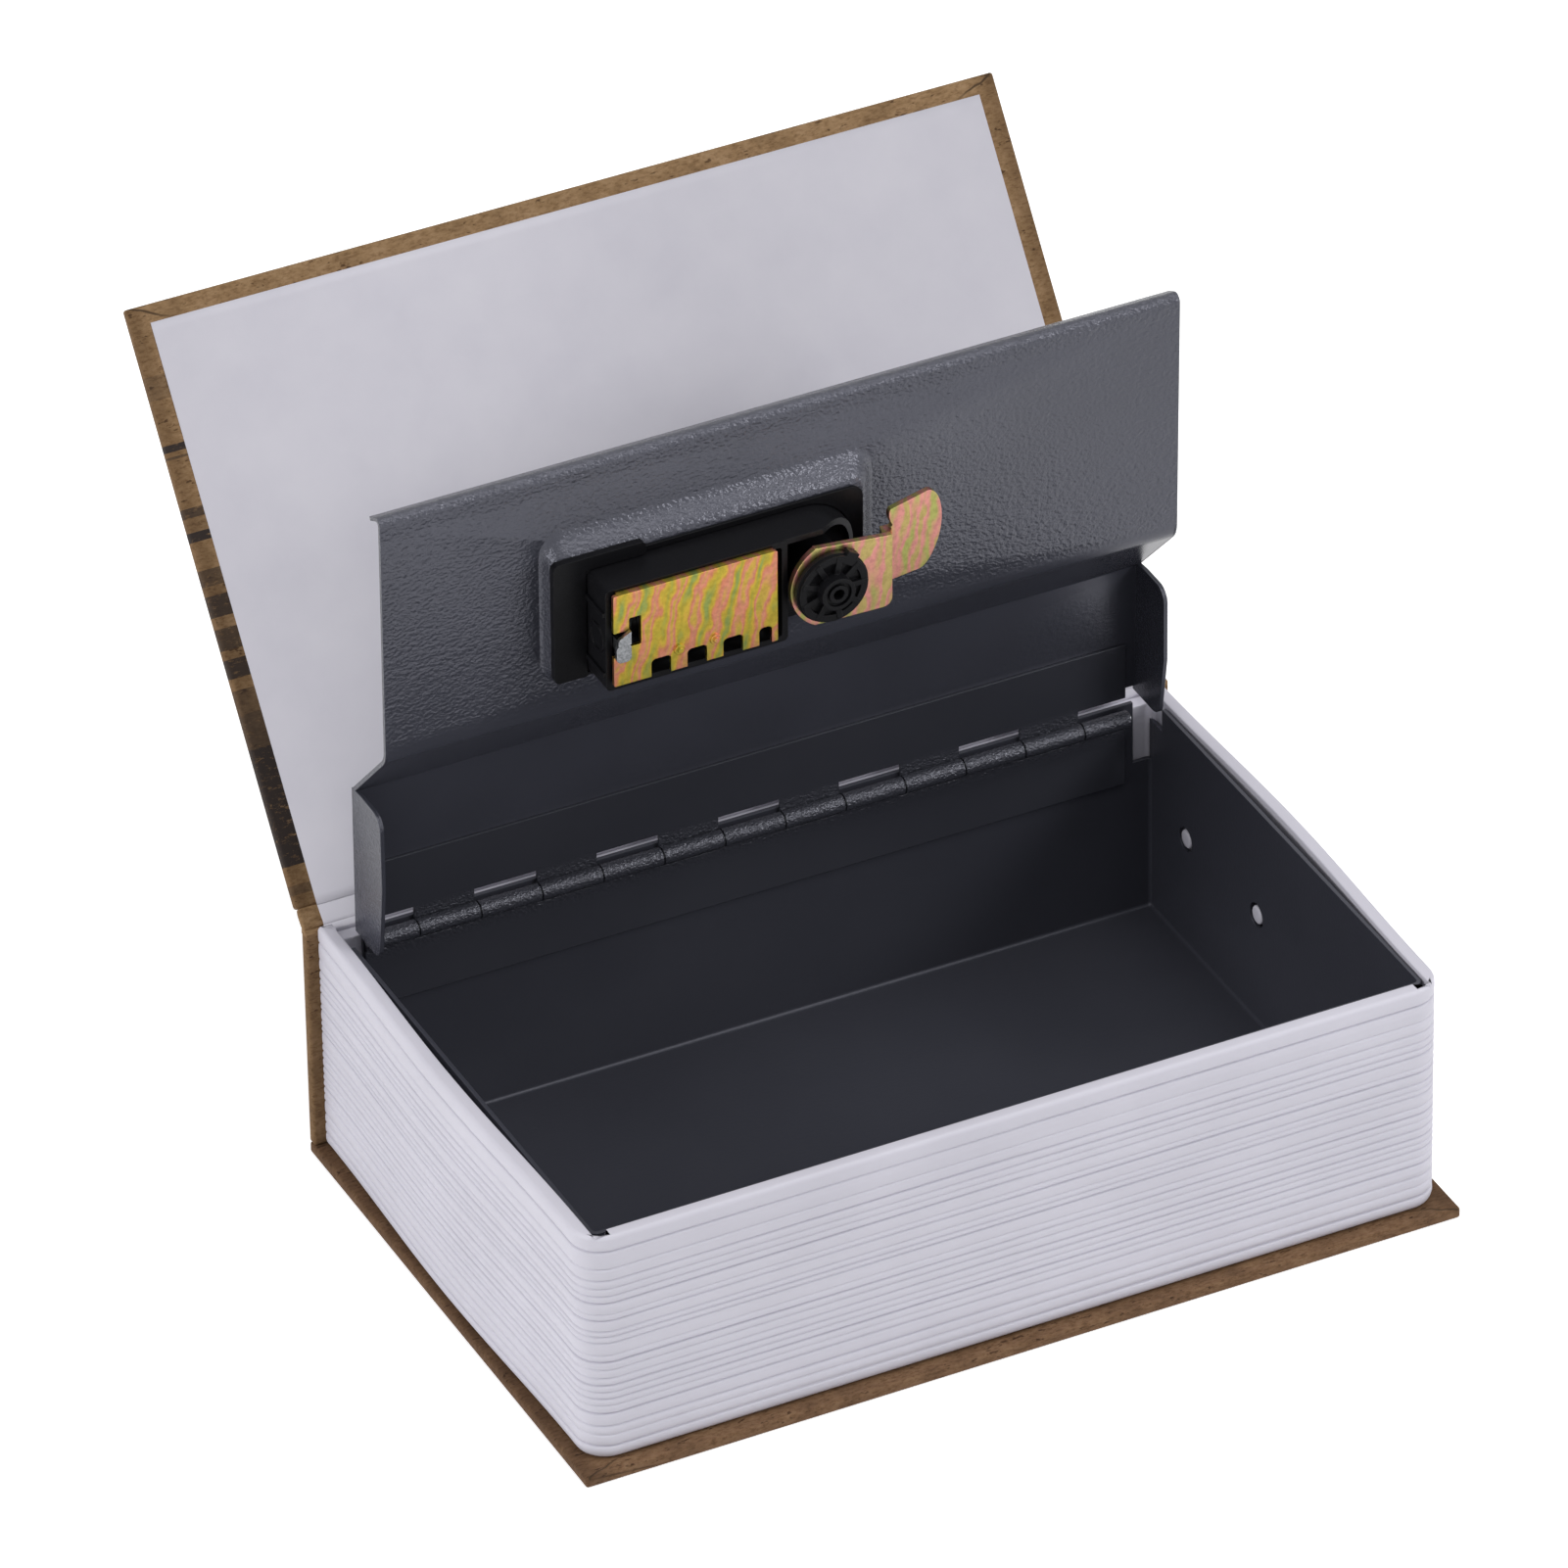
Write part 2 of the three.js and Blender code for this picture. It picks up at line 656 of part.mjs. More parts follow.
function loftInwards(rings) {
  const count = rings[0].length;
  const positions = rings.flat(2);
  const index = [];
  for (let level = 0; level + 1 < rings.length; level += 1) {
    for (let i = 0; i < count; i += 1) {
      const a = level * count + i;
      const b = level * count + (i + 1) % count;
      index.push(a, b, b + count, a, b + count, a + count);
    }
  }
  const last = (rings.length - 1) * count;
  for (let i = 1; i + 1 < count; i += 1) {
    index.push(0, i + 1, i);
    index.push(last, last + i, last + i + 1);
  }
  const geometry = new THREE.BufferGeometry();
  geometry.setAttribute('position', new THREE.Float32BufferAttribute(positions, 3));
  geometry.setIndex(index);
  geometry.applyMatrix4(inwards);
  return geometry;
}

function lid() {
  const half = lidWidth / 2;
  const sheet = endView(lidOutline(), -half, half);
  const outerPan = panFrustum(plateInner - 0.01, panInnerFace, 0);
  const innerPan = panFrustum(plateOuter - 0.5, panOuterFace, -steel);
  const windowHole = frontView(housingOutline(fit), panOuterFace - 1, panInnerFace + 1);
  const body = joined([sheet, flange(-1), flange(1), outerPan]);
  return cutBy(body, [innerPan, windowHole]);
}

// Lock housing: bezel in the pan's outer recess, body through the window, low part round the knob

function dialCentre(i) {
  return firstDial + i * dialPitch;
}

// The housing's outline in the window, round at the knob; grow offsets it
function housingOutline(grow) {
  const left = housingLeft - grow;
  const right = lowRight + grow;
  const bottom = housingBottom - grow;
  const top = housingTop + grow;
  const corner = lowCorner + grow;
  const shape = new THREE.Shape();
  shape.moveTo(left, bottom);
  shape.lineTo(right, bottom);
  shape.lineTo(right, top - corner);
  shape.absarc(right - corner, top - corner, corner, 0, Math.PI / 2);
  shape.lineTo(left, top);
  return shape;
}

// The body's top wall runs on round the knob and slopes down to the low part
function knobShroud() {
  const wall = frontView(housingOutline(0), lowFace - 1, housingFace - 0.4)
    .subtract(frontView(housingOutline(-housingWall), lowFace - 2, housingFace + 1));
  const slope = extruded(polygon([
    [knobX, -housingFace - 1], [lowRight + 1, -housingFace - 1], [lowRight + 1, -lowFace], [lowRight, -lowFace],
    [knobX, -housingFace + 0.4],
  ]), housingBottom - 1, housingTop + 1);
  const elsewhere = box(housingLeft - 1, lowRight + 1, -housingFace - 1, -lowFace,
    housingBottom - 1, housingTop - lowCorner);
  const behindBody = box(housingLeft - 1, housingRight - 1, -housingFace - 1, -lowFace + 2,
    housingBottom - 1, housingTop + 1);
  return cutBy(wall, [slope, elsewhere, behindBody]);
}

// Two ribs and a ring moulded on the body's left side
function sideRibs() {
  const ribs = [-1, 1].map((side) => box(housingLeft - ribProud, housingLeft + 0.1, -housingFace + 0.2,
    -lowFace - 0.3, dialAxisHeight + side * ribSpread - ribHeight / 2,
    dialAxisHeight + side * ribSpread + ribHeight / 2));
  const ring = new THREE.Shape();
  const centre = -(housingFace - axleRadius - 2.2);
  ring.absarc(centre, dialAxisHeight, 2 * axleRadius, 0, 2 * Math.PI);
  const bore = new THREE.Path();
  bore.absarc(centre, dialAxisHeight, 2 * axleRadius - 0.5, 0, 2 * Math.PI, true);
  ring.holes.push(bore);
  return [...ribs, endView(ring, housingLeft - ribProud / 2, housingLeft + 0.1)];
}

function lockHousing() {
  const bezel = frontView(roundedRectangle(faceLeft + bezelMargin, faceRight - bezelMargin,
    faceBottom + bezelMargin, faceTop - bezelMargin, 1.5), bezelOuter, panOuterFace - fit);
  const body = frontView(roundedRectangle(housingLeft, housingRight, housingBottom, housingTop, 1),
    bezelOuter + 0.5, housingFace);
  const low = frontView(housingOutline(0), bezelOuter + 0.5, lowFace);
  const boss = frontView(disc(knobX, knobHeight, shaftRadius + 2.6), bezelOuter + 0.5, camDepth - fit);
  const cavity = frontView(roundedRectangle(housingLeft + housingWall, housingRight - housingWall,
    housingBottom + housingWall, housingTop - housingWall, 0.6), bezelOuter + bezelThickness, housingFace + 1);
  const bore = frontView(disc(knobX, knobHeight, shaftRadius + shaftClearance), bezelOuter - 1, camDepth + 1, 10);
  const cutters = [cavity, bore];
  for (let i = 0; i < dialCount; i += 1) {
    const half = dialWidth / 2 + 0.3;
    const tall = Math.sqrt(dialRadius ** 2 - (dialAxisDepth - bezelOuter - bezelThickness) ** 2) + 0.5;
    cutters.push(box(dialCentre(i) - half, dialCentre(i) + half, -bezelOuter - bezelThickness - 0.5,
      -bezelOuter + 1, dialAxisHeight - tall, dialAxisHeight + tall));
  }
  return cutBy(joined([bezel, body, low, boss, knobShroud(), ...sideRibs()]), cutters);
}

// Fixing clip: a plastic frame slid over the body against the pan's inner face, thick at the left
function lockClip() {
  const near = panInnerFace + fit;
  const frame = frontView(roundedRectangle(faceLeft, faceRight - fit, faceBottom, faceTop - fit, panFloorCorner),
    near, near + frameThickness);
  const padRight = housingLeft + 0.5;
  const pad = frontView(roundedRectangle(faceLeft - clipOverhang, padRight, faceBottom + 0.4,
    faceTop + clipOverhang, 1.2), near, near + clipThickness);
  const tab = frontView(roundedRectangle(padRight - 2, padRight + tabLength, housingTop,
    faceTop + clipOverhang, 0.9), near, near + clipThickness);
  return joined([frame, pad, tab]).subtract(frontView(housingOutline(fit), near - 1, near + clipThickness + 1));
}

// Cover plate: stamped, with a slot for the lever, notches below and its top and right edges bent back
function lockCoverPlate() {
  const near = plateFace - plateThickness;
  const plate = frontView(roundedRectangle(plateLeft, plateRight, plateBottom, plateTop, 0.3), near, plateFace);
  const rims = [
    box(plateLeft + 1, plateRight - 0.4, -near - 0.1, -near + plateStandoff, plateTop - plateRim, plateTop),
    box(plateRight - plateRim, plateRight, -near - 0.1, -near + plateStandoff, plateBottom + 1, plateTop - 0.4),
  ];
  const cut = (x0, x1, z0, z1, radius) => frontView(roundedRectangle(x0, x1, z0, z1, radius), near - 1, plateFace + 1);
  const cutters = [];
  for (let i = 0; i < dialCount; i += 1) {
    const left = dialCentre(i) - notchWidth / 2;
    const right = Math.min(left + notchWidth, plateRight - plateRim - 0.2);
    cutters.push(cut(left, right, plateBottom - 2, plateBottom + notchHeight, 0.9));
  }
  const slotLeft = plateLeft + leverHead;
  cutters.push(cut(slotLeft, slotLeft + leverWidth, dialAxisHeight - 0.5, dialAxisHeight + 5.8, 0.3));
  cutters.push(cut(plateLeft - 1, slotLeft + 0.4, dialAxisHeight - 2.1, dialAxisHeight + 3.2, 0.3));
  const rivets = [];
  for (const i of [0, 1]) {
    const x = dialCentre(i) + dialPitch / 2;
    const z = plateBottom + notchHeight + 0.7;
    rivets.push(frontView(disc(x, z, rivetRadius), plateFace - 0.4, plateFace + 0.4, 6));
    rivets.push(frontView(disc(x, z, rivetRadius / 2), plateFace, plateFace + 0.8, 6));
  }
  return joined([cutBy(joined([plate, ...rims]), cutters), ...rivets]);
}

// Number dial: a wheel with a groove between each two of its ten places
function dial() {
  const shape = new THREE.Shape();
  const step = 2 * Math.PI / dialGrooves;
  const half = dialGrooveRadius / dialRadius;
  for (let i = 0; i < dialGrooves; i += 1) {
    const middle = i * step;
    for (const share of [-1, -0.5, 0, 0.5, 1]) {
      const angle = middle + share * half;
      const radius = dialRadius - dialGrooveRadius * Math.sqrt(1 - share * share) * 0.8;
      const point = [radius * Math.cos(angle), radius * Math.sin(angle)];
      if (i === 0 && share === -1) shape.moveTo(...point);
      else shape.lineTo(...point);
    }
    shape.lineTo(dialRadius * Math.cos(middle + step / 2), dialRadius * Math.sin(middle + step / 2));
  }
  const bore = new THREE.Path();
  bore.absarc(0, 0, sleeveRadius + sleeveClearance, 0, 2 * Math.PI, true);
  shape.holes.push(bore);
  return endView(shape, -dialWidth / 2, dialWidth / 2);
}

// Sleeve: carries one dial on the axle; its collar beside the dial has the gate for the locking bar
function dialSleeve() {
  const left = -dialWidth / 2 - collarWidth;
  const tube = endView(disc(0, 0, sleeveRadius), left, dialWidth / 2);
  const collar = endView(disc(0, 0, collarRadius), left, left + collarWidth - sleeveClearance);
  const bore = endView(disc(0, 0, axleRadius + sleeveClearance), left - 1, dialWidth / 2 + 1);
  const gate = box(left - 1, left + collarWidth - sleeveClearance, -gateWidth / 2, gateWidth / 2,
    -collarRadius - 1, -collarRadius + gateDepth);
  return joined([tube, collar]).subtract(joined([bore, gate]));
}

function dialAxle() {
  const x0 = housingLeft + housingWall + 0.2;
  const x1 = housingRight - housingWall - 0.2;
  return endView(disc(0, 0, axleRadius), x0, x1);
}

// Locking bar: slides below the dials, with one finger in the gap beside each dial
function lockingBar() {
  const half = axleRadius * 2;
  const z0 = housingBottom + housingWall + 0.3;
  const left = firstDial - dialWidth / 2 - collarWidth - 0.6;
  const right = dialCentre(dialCount - 1) + dialWidth / 2 - 1.2;
  const parts = [box(left, right, -dialAxisDepth - half, -dialAxisDepth + half, z0, z0 + 1.2)];
  for (let i = 0; i < dialCount; i += 1) {
    const x = dialCentre(i) - dialWidth / 2 - collarWidth / 2;
    parts.push(box(x - fingerWidth / 2, x + fingerWidth / 2, -dialAxisDepth - fingerWidth,
      -dialAxisDepth + fingerWidth, z0 + 0.5, dialAxisHeight - collarRadius - 0.5));
  }
  return joined(parts);
}

// Reset lever: a stem through the plate's slot with a pointed and a rounded end on top
function resetLever() {
  const near = plateFace + 0.15;
  const far = near + leverThickness;
  const x0 = plateLeft + 0.5;
  const z0 = dialAxisHeight - 0.5;
  const stem = box(x0, x0 + leverThickness, -far, -housingFace + 1, z0, z0 + leverWidth);
  const head = frontView(roundedRectangle(x0 - 0.4, x0 + leverHead - 0.5, z0 - 2.4, z0 + 1.4, 1), near, far, 6);
  const point = frontView(polygon([[x0, z0 + 1], [x0 + leverHead - 0.5, z0 + 1.2],
    [x0 + leverHead - 0.5, z0 + 4], [x0 + 0.2, z0 + 2.7]]), near, far);
  return joined([stem, head, point]);
}

// Knob: a round skirt and a straight grip on the lid's outer side, in one with its shaft
function knob() {
  const skirtDepth = bezelOuter - 0.3;
  const top = skirtDepth - knobTall;
  const skirt = frontView(disc(0, 0, knobRadius), skirtDepth - knobSkirt, skirtDepth, 14);
  const grip = frontView(roundedRectangle(-knobRadius + 0.6, knobRadius - 0.6, -knobGripWidth / 2,
    knobGripWidth / 2, knobGripWidth / 2 - 0.1), top, skirtDepth - knobSkirt + 0.5);
  const neck = frontView(disc(0, 0, knobRadius * 0.72), top + 3, skirtDepth - knobSkirt + 0.5, 12);
  const shaft = frontView(disc(0, 0, shaftRadius), skirtDepth - 0.5, camDepth + camThickness - 0.3, 10);
  return joined([skirt, grip, neck, shaft]);
}

// Cam: a flat plate on the shaft, stepped back towards the lid, ending in a rounded tongue
function cam() {
  const plate = new THREE.Shape();
  const arcX = camEndRadius - camHalf + 0.6;
  const open = Math.acos((camHalf - 0.2) / camEndRadius);
  plate.moveTo(camFold, 0.82 * camHalf);
  plate.lineTo(arcX + camEndRadius * Math.cos(Math.PI / 2 + open), camHalf + 0.2);
  plate.absarc(arcX, 0.2, camEndRadius, Math.PI / 2 + open, 1.5 * Math.PI - open);
  plate.lineTo(camFold - 2.2, -camHalf);
  plate.quadraticCurveTo(camFold, -camHalf, camFold, -camHalf + 2);
  const upper = frontView(plate, camDepth, camDepth + camThickness, 10);
  const tongue = new THREE.Shape();
  const left = camFold + 0.7;
  tongue.moveTo(left, -6.8);
  tongue.lineTo(tongueReach - 4.6, -5.9);
  tongue.quadraticCurveTo(tongueReach - 2.9, -5.4, tongueReach - 1.5, -2.2);
  tongue.quadraticCurveTo(tongueReach + 0.5, 2.4, tongueReach - 0.2, 7);
  tongue.quadraticCurveTo(tongueReach - 0.8, 10.4, tongueReach - 2.6, 10.9);
  tongue.lineTo(left + 1.5, 9);
  tongue.quadraticCurveTo(left + 0.5, 8, left + 1.8, 5.4);
  tongue.lineTo(left, 4);
  const lower = frontView(tongue, tongueDepth, tongueDepth + camThickness, 10);
  const bore = frontView(disc(0, 0, shaftRadius + 0.25), camDepth - 1, camDepth + camThickness + 1, 10);
  return joined([upper, camWeb(), lower]).subtract(bore);
}

// The slope between the cam's plate and its tongue
function camWeb() {
  const shape = new THREE.Shape();
  shape.moveTo(camFold - camThickness, -camDepth - camThickness);
  shape.lineTo(camFold, -camDepth - camThickness);
  shape.lineTo(camFold + camThickness + 1.6, -tongueDepth - 0.1);
  shape.lineTo(camFold + 0.4, -tongueDepth);
  return extruded(shape, -0.78 * camHalf, 0.6 * camHalf);
}

// Retainer: a toothed plastic disc with a rim and a lug, pressed on the shaft's end
function camRetainer() {
  const near = camDepth + camThickness + fit;
  const face = near + retainerThickness;
  const plate = frontView(disc(0, 0, retainerRadius), near, face, 16);
  const rim = frontView(disc(0, 0, retainerRadius - 0.3), face - 0.1, face + retainerRim, 16)
    .subtract(frontView(disc(0, 0, retainerRadius - 1.7), face - 1, face + 2, 16));
  const barrel = frontView(disc(0, 0, barrelRadius), near, near + barrelLength, 12);
  const step = 2 * Math.PI / retainerTeeth;
  const teeth = [];
  for (let i = 0; i < retainerTeeth; i += 1) {
    const tooth = new THREE.BoxGeometry(retainerRadius - barrelRadius, 1.2, 1.1);
    tooth.translate((retainerRadius + barrelRadius) / 2 - 0.6, -face - 0.3, 0);
    tooth.rotateY(i * step);
    teeth.push(solid(tooth));
  }
  const lug = new THREE.BoxGeometry(2.6, retainerThickness + retainerRim, 2.4);
  lug.translate(retainerRadius - 0.7, -(near + face + retainerRim) / 2, 0);
  lug.rotateY(degrees(-58));
  const hole = frontView(disc(0, 0, barrelRadius / 3), near + 1, near + barrelLength + 1, 6);
  const recess = frontView(disc(0, 0, barrelRadius - 0.8), near + barrelLength - 0.7, near + barrelLength + 1, 10)
    .subtract(frontView(disc(0, 0, barrelRadius / 2 + 0.2), near, near + barrelLength + 2, 8));
  return cutBy(joined([plate, rim, barrel, ...teeth, solid(lug)]), [hole, recess]);
}

// Front cover: the board folds on a narrow strip of the covering paper

const jointY = bookDepth / 2 - 0.6;
const jointZ = spineTop + 0.2;
const jointTilt = degrees(45);
const coverPivotY = jointY - jointWidth * Math.cos(jointTilt);
const coverPivotZ = jointZ + jointWidth * Math.sin(jointTilt);
const coverOuter = blockTop + coverAboveRim + boardThickness;

function addFrontCover() {
  const jointGroup = new THREE.Group();
  jointGroup.position.set(0, jointY, jointZ);
  jointGroup.rotation.x = -degrees(lidOpen);
  safe.add(jointGroup);
  const strip = new THREE.Shape();
  const across = jointThickness / 2;
  strip.moveTo(jointEndGap, -across);
  strip.lineTo(jointWidth - jointEndGap, -across);
  strip.lineTo(jointWidth - jointEndGap, across);
  strip.lineTo(jointEndGap, across);
  const stripGroup = new THREE.Group();
  stripGroup.rotation.x = Math.PI - jointTilt;
  jointGroup.add(stripGroup);
  addPiece(stripGroup, 'cover_joint_kraft', endView(strip, -bookLength / 2, bookLength / 2), kraft);
  const paperSide = across + pasteGap;
  const paper = box(-bookLength / 2 + endpaperMargin, bookLength / 2 - endpaperMargin, jointEndGap,
    jointWidth - jointEndGap, paperSide, paperSide + endpaperThickness);
  addPiece(stripGroup, 'joint_endpaper', paper, whitePaper);

  const cover = new THREE.Group();
  cover.position.set(0, coverPivotY - jointY, coverPivotZ - jointZ);
  cover.rotation.x = -degrees(coverOpen - lidOpen);
  jointGroup.add(cover);
  // Shut, the cover lies just over the rim and its board runs to the fore edge
  const x = bookLength / 2;
  const y1 = -jointBoardGap;
  const y0 = -(coverPivotY + bookDepth / 2);
  const flipped = new THREE.Group();
  flipped.rotation.x = Math.PI;
  flipped.position.z = coverOuter - coverPivotZ;
  cover.add(flipped);
  addPiece(flipped, 'front_board', coverCore(-x, x, -y1, -y0, 0), greyBoard);
  addPiece(flipped, 'front_board_kraft', coverWrap(-x, x, -y1, -y0, 0, false), kraft);
  const endpaper = box(-x + endpaperMargin, x - endpaperMargin, -y1 + 1, -y0 - endpaperMargin,
    boardThickness + pasteGap, boardThickness + pasteGap + endpaperThickness);
  addPiece(flipped, 'front_endpaper', endpaper, whitePaper);
}

function addLid() {
  addPiece(lidGroup, 'lid', lid(), coatedSteel);
  addPiece(lidGroup, 'lid_hinge_leaf', hingeLeaf(false, 1, windowTop), coatedSteel);
  addPiece(lidGroup, 'lock_housing', lockHousing(), blackPlastic);
  addPiece(lidGroup, 'lock_clip', lockClip(), blackPlastic);
  addPiece(lidGroup, 'lock_cover_plate', lockCoverPlate(), chromatedSteel);
  addPiece(lidGroup, 'reset_lever', resetLever(), bareSteel);
  addPiece(lidGroup, 'locking_bar', lockingBar(), bareSteel);
  const axle = new THREE.Group();
  axle.position.set(0, -dialAxisDepth, dialAxisHeight);
  lidGroup.add(axle);
  addPiece(axle, 'dial_axle', dialAxle(), bareSteel);
  for (let i = 0; i < dialCount; i += 1) {
    addPiece(axle, `dial_${i + 1}`, dial(), blackPlastic).position.x = dialCentre(i);
    addPiece(axle, `dial_${i + 1}_sleeve`, dialSleeve(), bareSteel).position.x = dialCentre(i);
  }
  const spindle = new THREE.Group();
  spindle.position.set(knobX, 0, knobHeight);
  lidGroup.add(spindle);
  addPiece(spindle, 'knob', knob(), blackPlastic);
  addPiece(spindle, 'cam', cam(), chromatedSteel);
  addPiece(spindle, 'cam_retainer', camRetainer(), blackPlastic);
}

function addTray() {
  addPiece(safe, 'page_block', pageBlock(), whitePlastic);
  addPiece(safe, 'tray', tray(), coatedSteel);
  addPiece(safe, 'keeper', keeper(), coatedSteel);
  const hinge = new THREE.Group();
  hinge.position.set(0, hingeY, hingeZ);
  safe.add(hinge);
  addPiece(hinge, 'tray_hinge_leaf', hingeLeaf(true, -1, knuckleRadius + 1.5), coatedSteel);
  addPiece(hinge, 'hinge_pin', hingePin(), bareSteel);
}

addCase();
addTray();
addLid();
addFrontCover();

export default safe;
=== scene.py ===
"""The looks of a hollow book with a steel cash tray and a combination lock inside, standing open."""

import json
from math import cos, pi, radians, sin

import bmesh
import bpy
import numpy as np
from mathutils import Matrix, Vector

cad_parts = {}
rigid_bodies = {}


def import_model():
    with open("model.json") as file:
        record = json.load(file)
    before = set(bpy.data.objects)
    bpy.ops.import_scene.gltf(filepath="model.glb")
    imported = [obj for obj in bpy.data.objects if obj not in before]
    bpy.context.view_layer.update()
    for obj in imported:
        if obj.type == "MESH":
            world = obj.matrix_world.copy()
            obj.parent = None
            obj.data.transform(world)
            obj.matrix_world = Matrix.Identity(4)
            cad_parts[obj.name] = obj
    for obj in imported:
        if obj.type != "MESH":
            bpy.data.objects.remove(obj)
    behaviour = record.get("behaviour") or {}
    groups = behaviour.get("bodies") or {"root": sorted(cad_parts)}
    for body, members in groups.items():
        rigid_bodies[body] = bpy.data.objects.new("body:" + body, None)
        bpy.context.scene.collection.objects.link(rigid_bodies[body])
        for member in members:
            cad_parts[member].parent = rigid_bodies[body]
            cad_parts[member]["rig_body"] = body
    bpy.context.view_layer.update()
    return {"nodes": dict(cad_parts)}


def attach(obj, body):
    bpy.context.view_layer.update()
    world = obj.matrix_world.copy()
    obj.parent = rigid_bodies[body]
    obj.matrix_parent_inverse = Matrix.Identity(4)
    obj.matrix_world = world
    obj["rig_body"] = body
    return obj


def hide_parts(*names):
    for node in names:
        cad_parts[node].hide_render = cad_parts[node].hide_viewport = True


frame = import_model()

MM = 0.001

# Back cover: a sheet of grey binder's board wrapped in brown kraft paper. The paper is glued down over
# the edges and folded in at the corners. It lies on the table and carries the page block.

BOOK_LENGTH = 180 * MM
BOOK_DEPTH = 118.4 * MM
BOARD = 2.4 * MM
PAPER_BEND = 0.6 * MM  # radius at which the paper goes round the board's edge
UNEVEN = 0.06 * MM  # hollows left by the paste under the paper
COVER_WIDTH = 115.7 * MM  # front cover, from the joint to the fore edge
WORN_AND_SHADED_EDGE = (1.2 * MM, 3.4 * MM)  # distances from the edge at which the darkening, partly wear and partly painted shade, starts to fade and is gone

# The crease that a folded corner leaves in the turned-in paper.
CREASE_SLOPE = 0.42
CREASE_SWAY = 1.6 * MM
CREASE_WIDTH = (0.08 * MM, 0.3 * MM)
CREASE_END = (5 * MM, 9 * MM)

# Along the cover the print stops short of the right edge.
PRINT_END = (55 * MM, 62 * MM)

# Places of the print across the cover, from the fore edge (0) to the joint (1), as shares of its width:
# white is ink. A wide worn band lies near the joint, with thin lines and a worn bar further out.
PRINT_BANDS = [
    (0.0, "#000000"), (0.11, "#909090"), (0.15, "#000000"), (0.225, "#ffffff"), (0.237, "#000000"),
    (0.243, "#d0d0d0"), (0.247, "#000000"), (0.33, "#e8e8e8"), (0.345, "#606060"), (0.37, "#ffffff"),
    (0.385, "#000000"), (0.43, "#d8d8d8"), (0.46, "#707070"), (0.475, "#f4f4f4"), (0.51, "#404040"),
    (0.53, "#e8e8e8"), (0.565, "#606060"), (0.58, "#f8f8f8"), (0.61, "#000000"), (0.63, "#c0c0c0"),
    (0.67, "#e0e0e0"), (0.73, "#ffffff"), (0.925, "#000000"), (0.955, "#b0b0b0"), (0.97, "#000000")]


def linear(code):
    """The linear colour of an sRGB hex code such as #8e7459."""
    parts = [int(code[i : i + 2], 16) / 255 for i in (1, 3, 5)]
    return [p / 12.92 if p <= 0.04045 else ((p + 0.055) / 1.055) ** 2.4 for p in parts] + [1]


def add_node(tree, kind, settings=None, sockets=None, stops=None):
    """Adds a node, sets its properties, fills its sockets with values or other nodes' outputs, and fills
    its ramp with (place, hex code) stops."""
    node = tree.nodes.new(kind)
    for name, value in (settings or {}).items():
        setattr(node, name, value)
    for name, value in (sockets or {}).items():
        if isinstance(value, bpy.types.NodeSocket):
            tree.links.new(value, node.inputs[name])
        else:
            node.inputs[name].default_value = value
    if stops:
        while len(node.color_ramp.elements) < len(stops):
            node.color_ramp.elements.new(0.5)
        for element, (place, code) in zip(node.color_ramp.elements, stops):
            element.position = place
            element.color = linear(code)
    return node


def new_material(name):
    """An empty node material: returns it, its tree and the place on the object that it reads."""
    material = bpy.data.materials.new(name)
    material.use_nodes = True
    tree = material.node_tree
    tree.nodes.clear()
    return material, tree, add_node(tree, "ShaderNodeTexCoord").outputs["Object"]


def finish_material(tree, sockets):
    """Closes a material with one Principled shader that has these sockets."""
    shader = add_node(tree, "ShaderNodeBsdfPrincipled", sockets=sockets)
    add_node(tree, "ShaderNodeOutputMaterial", sockets={"Surface": shader.outputs["BSDF"]})


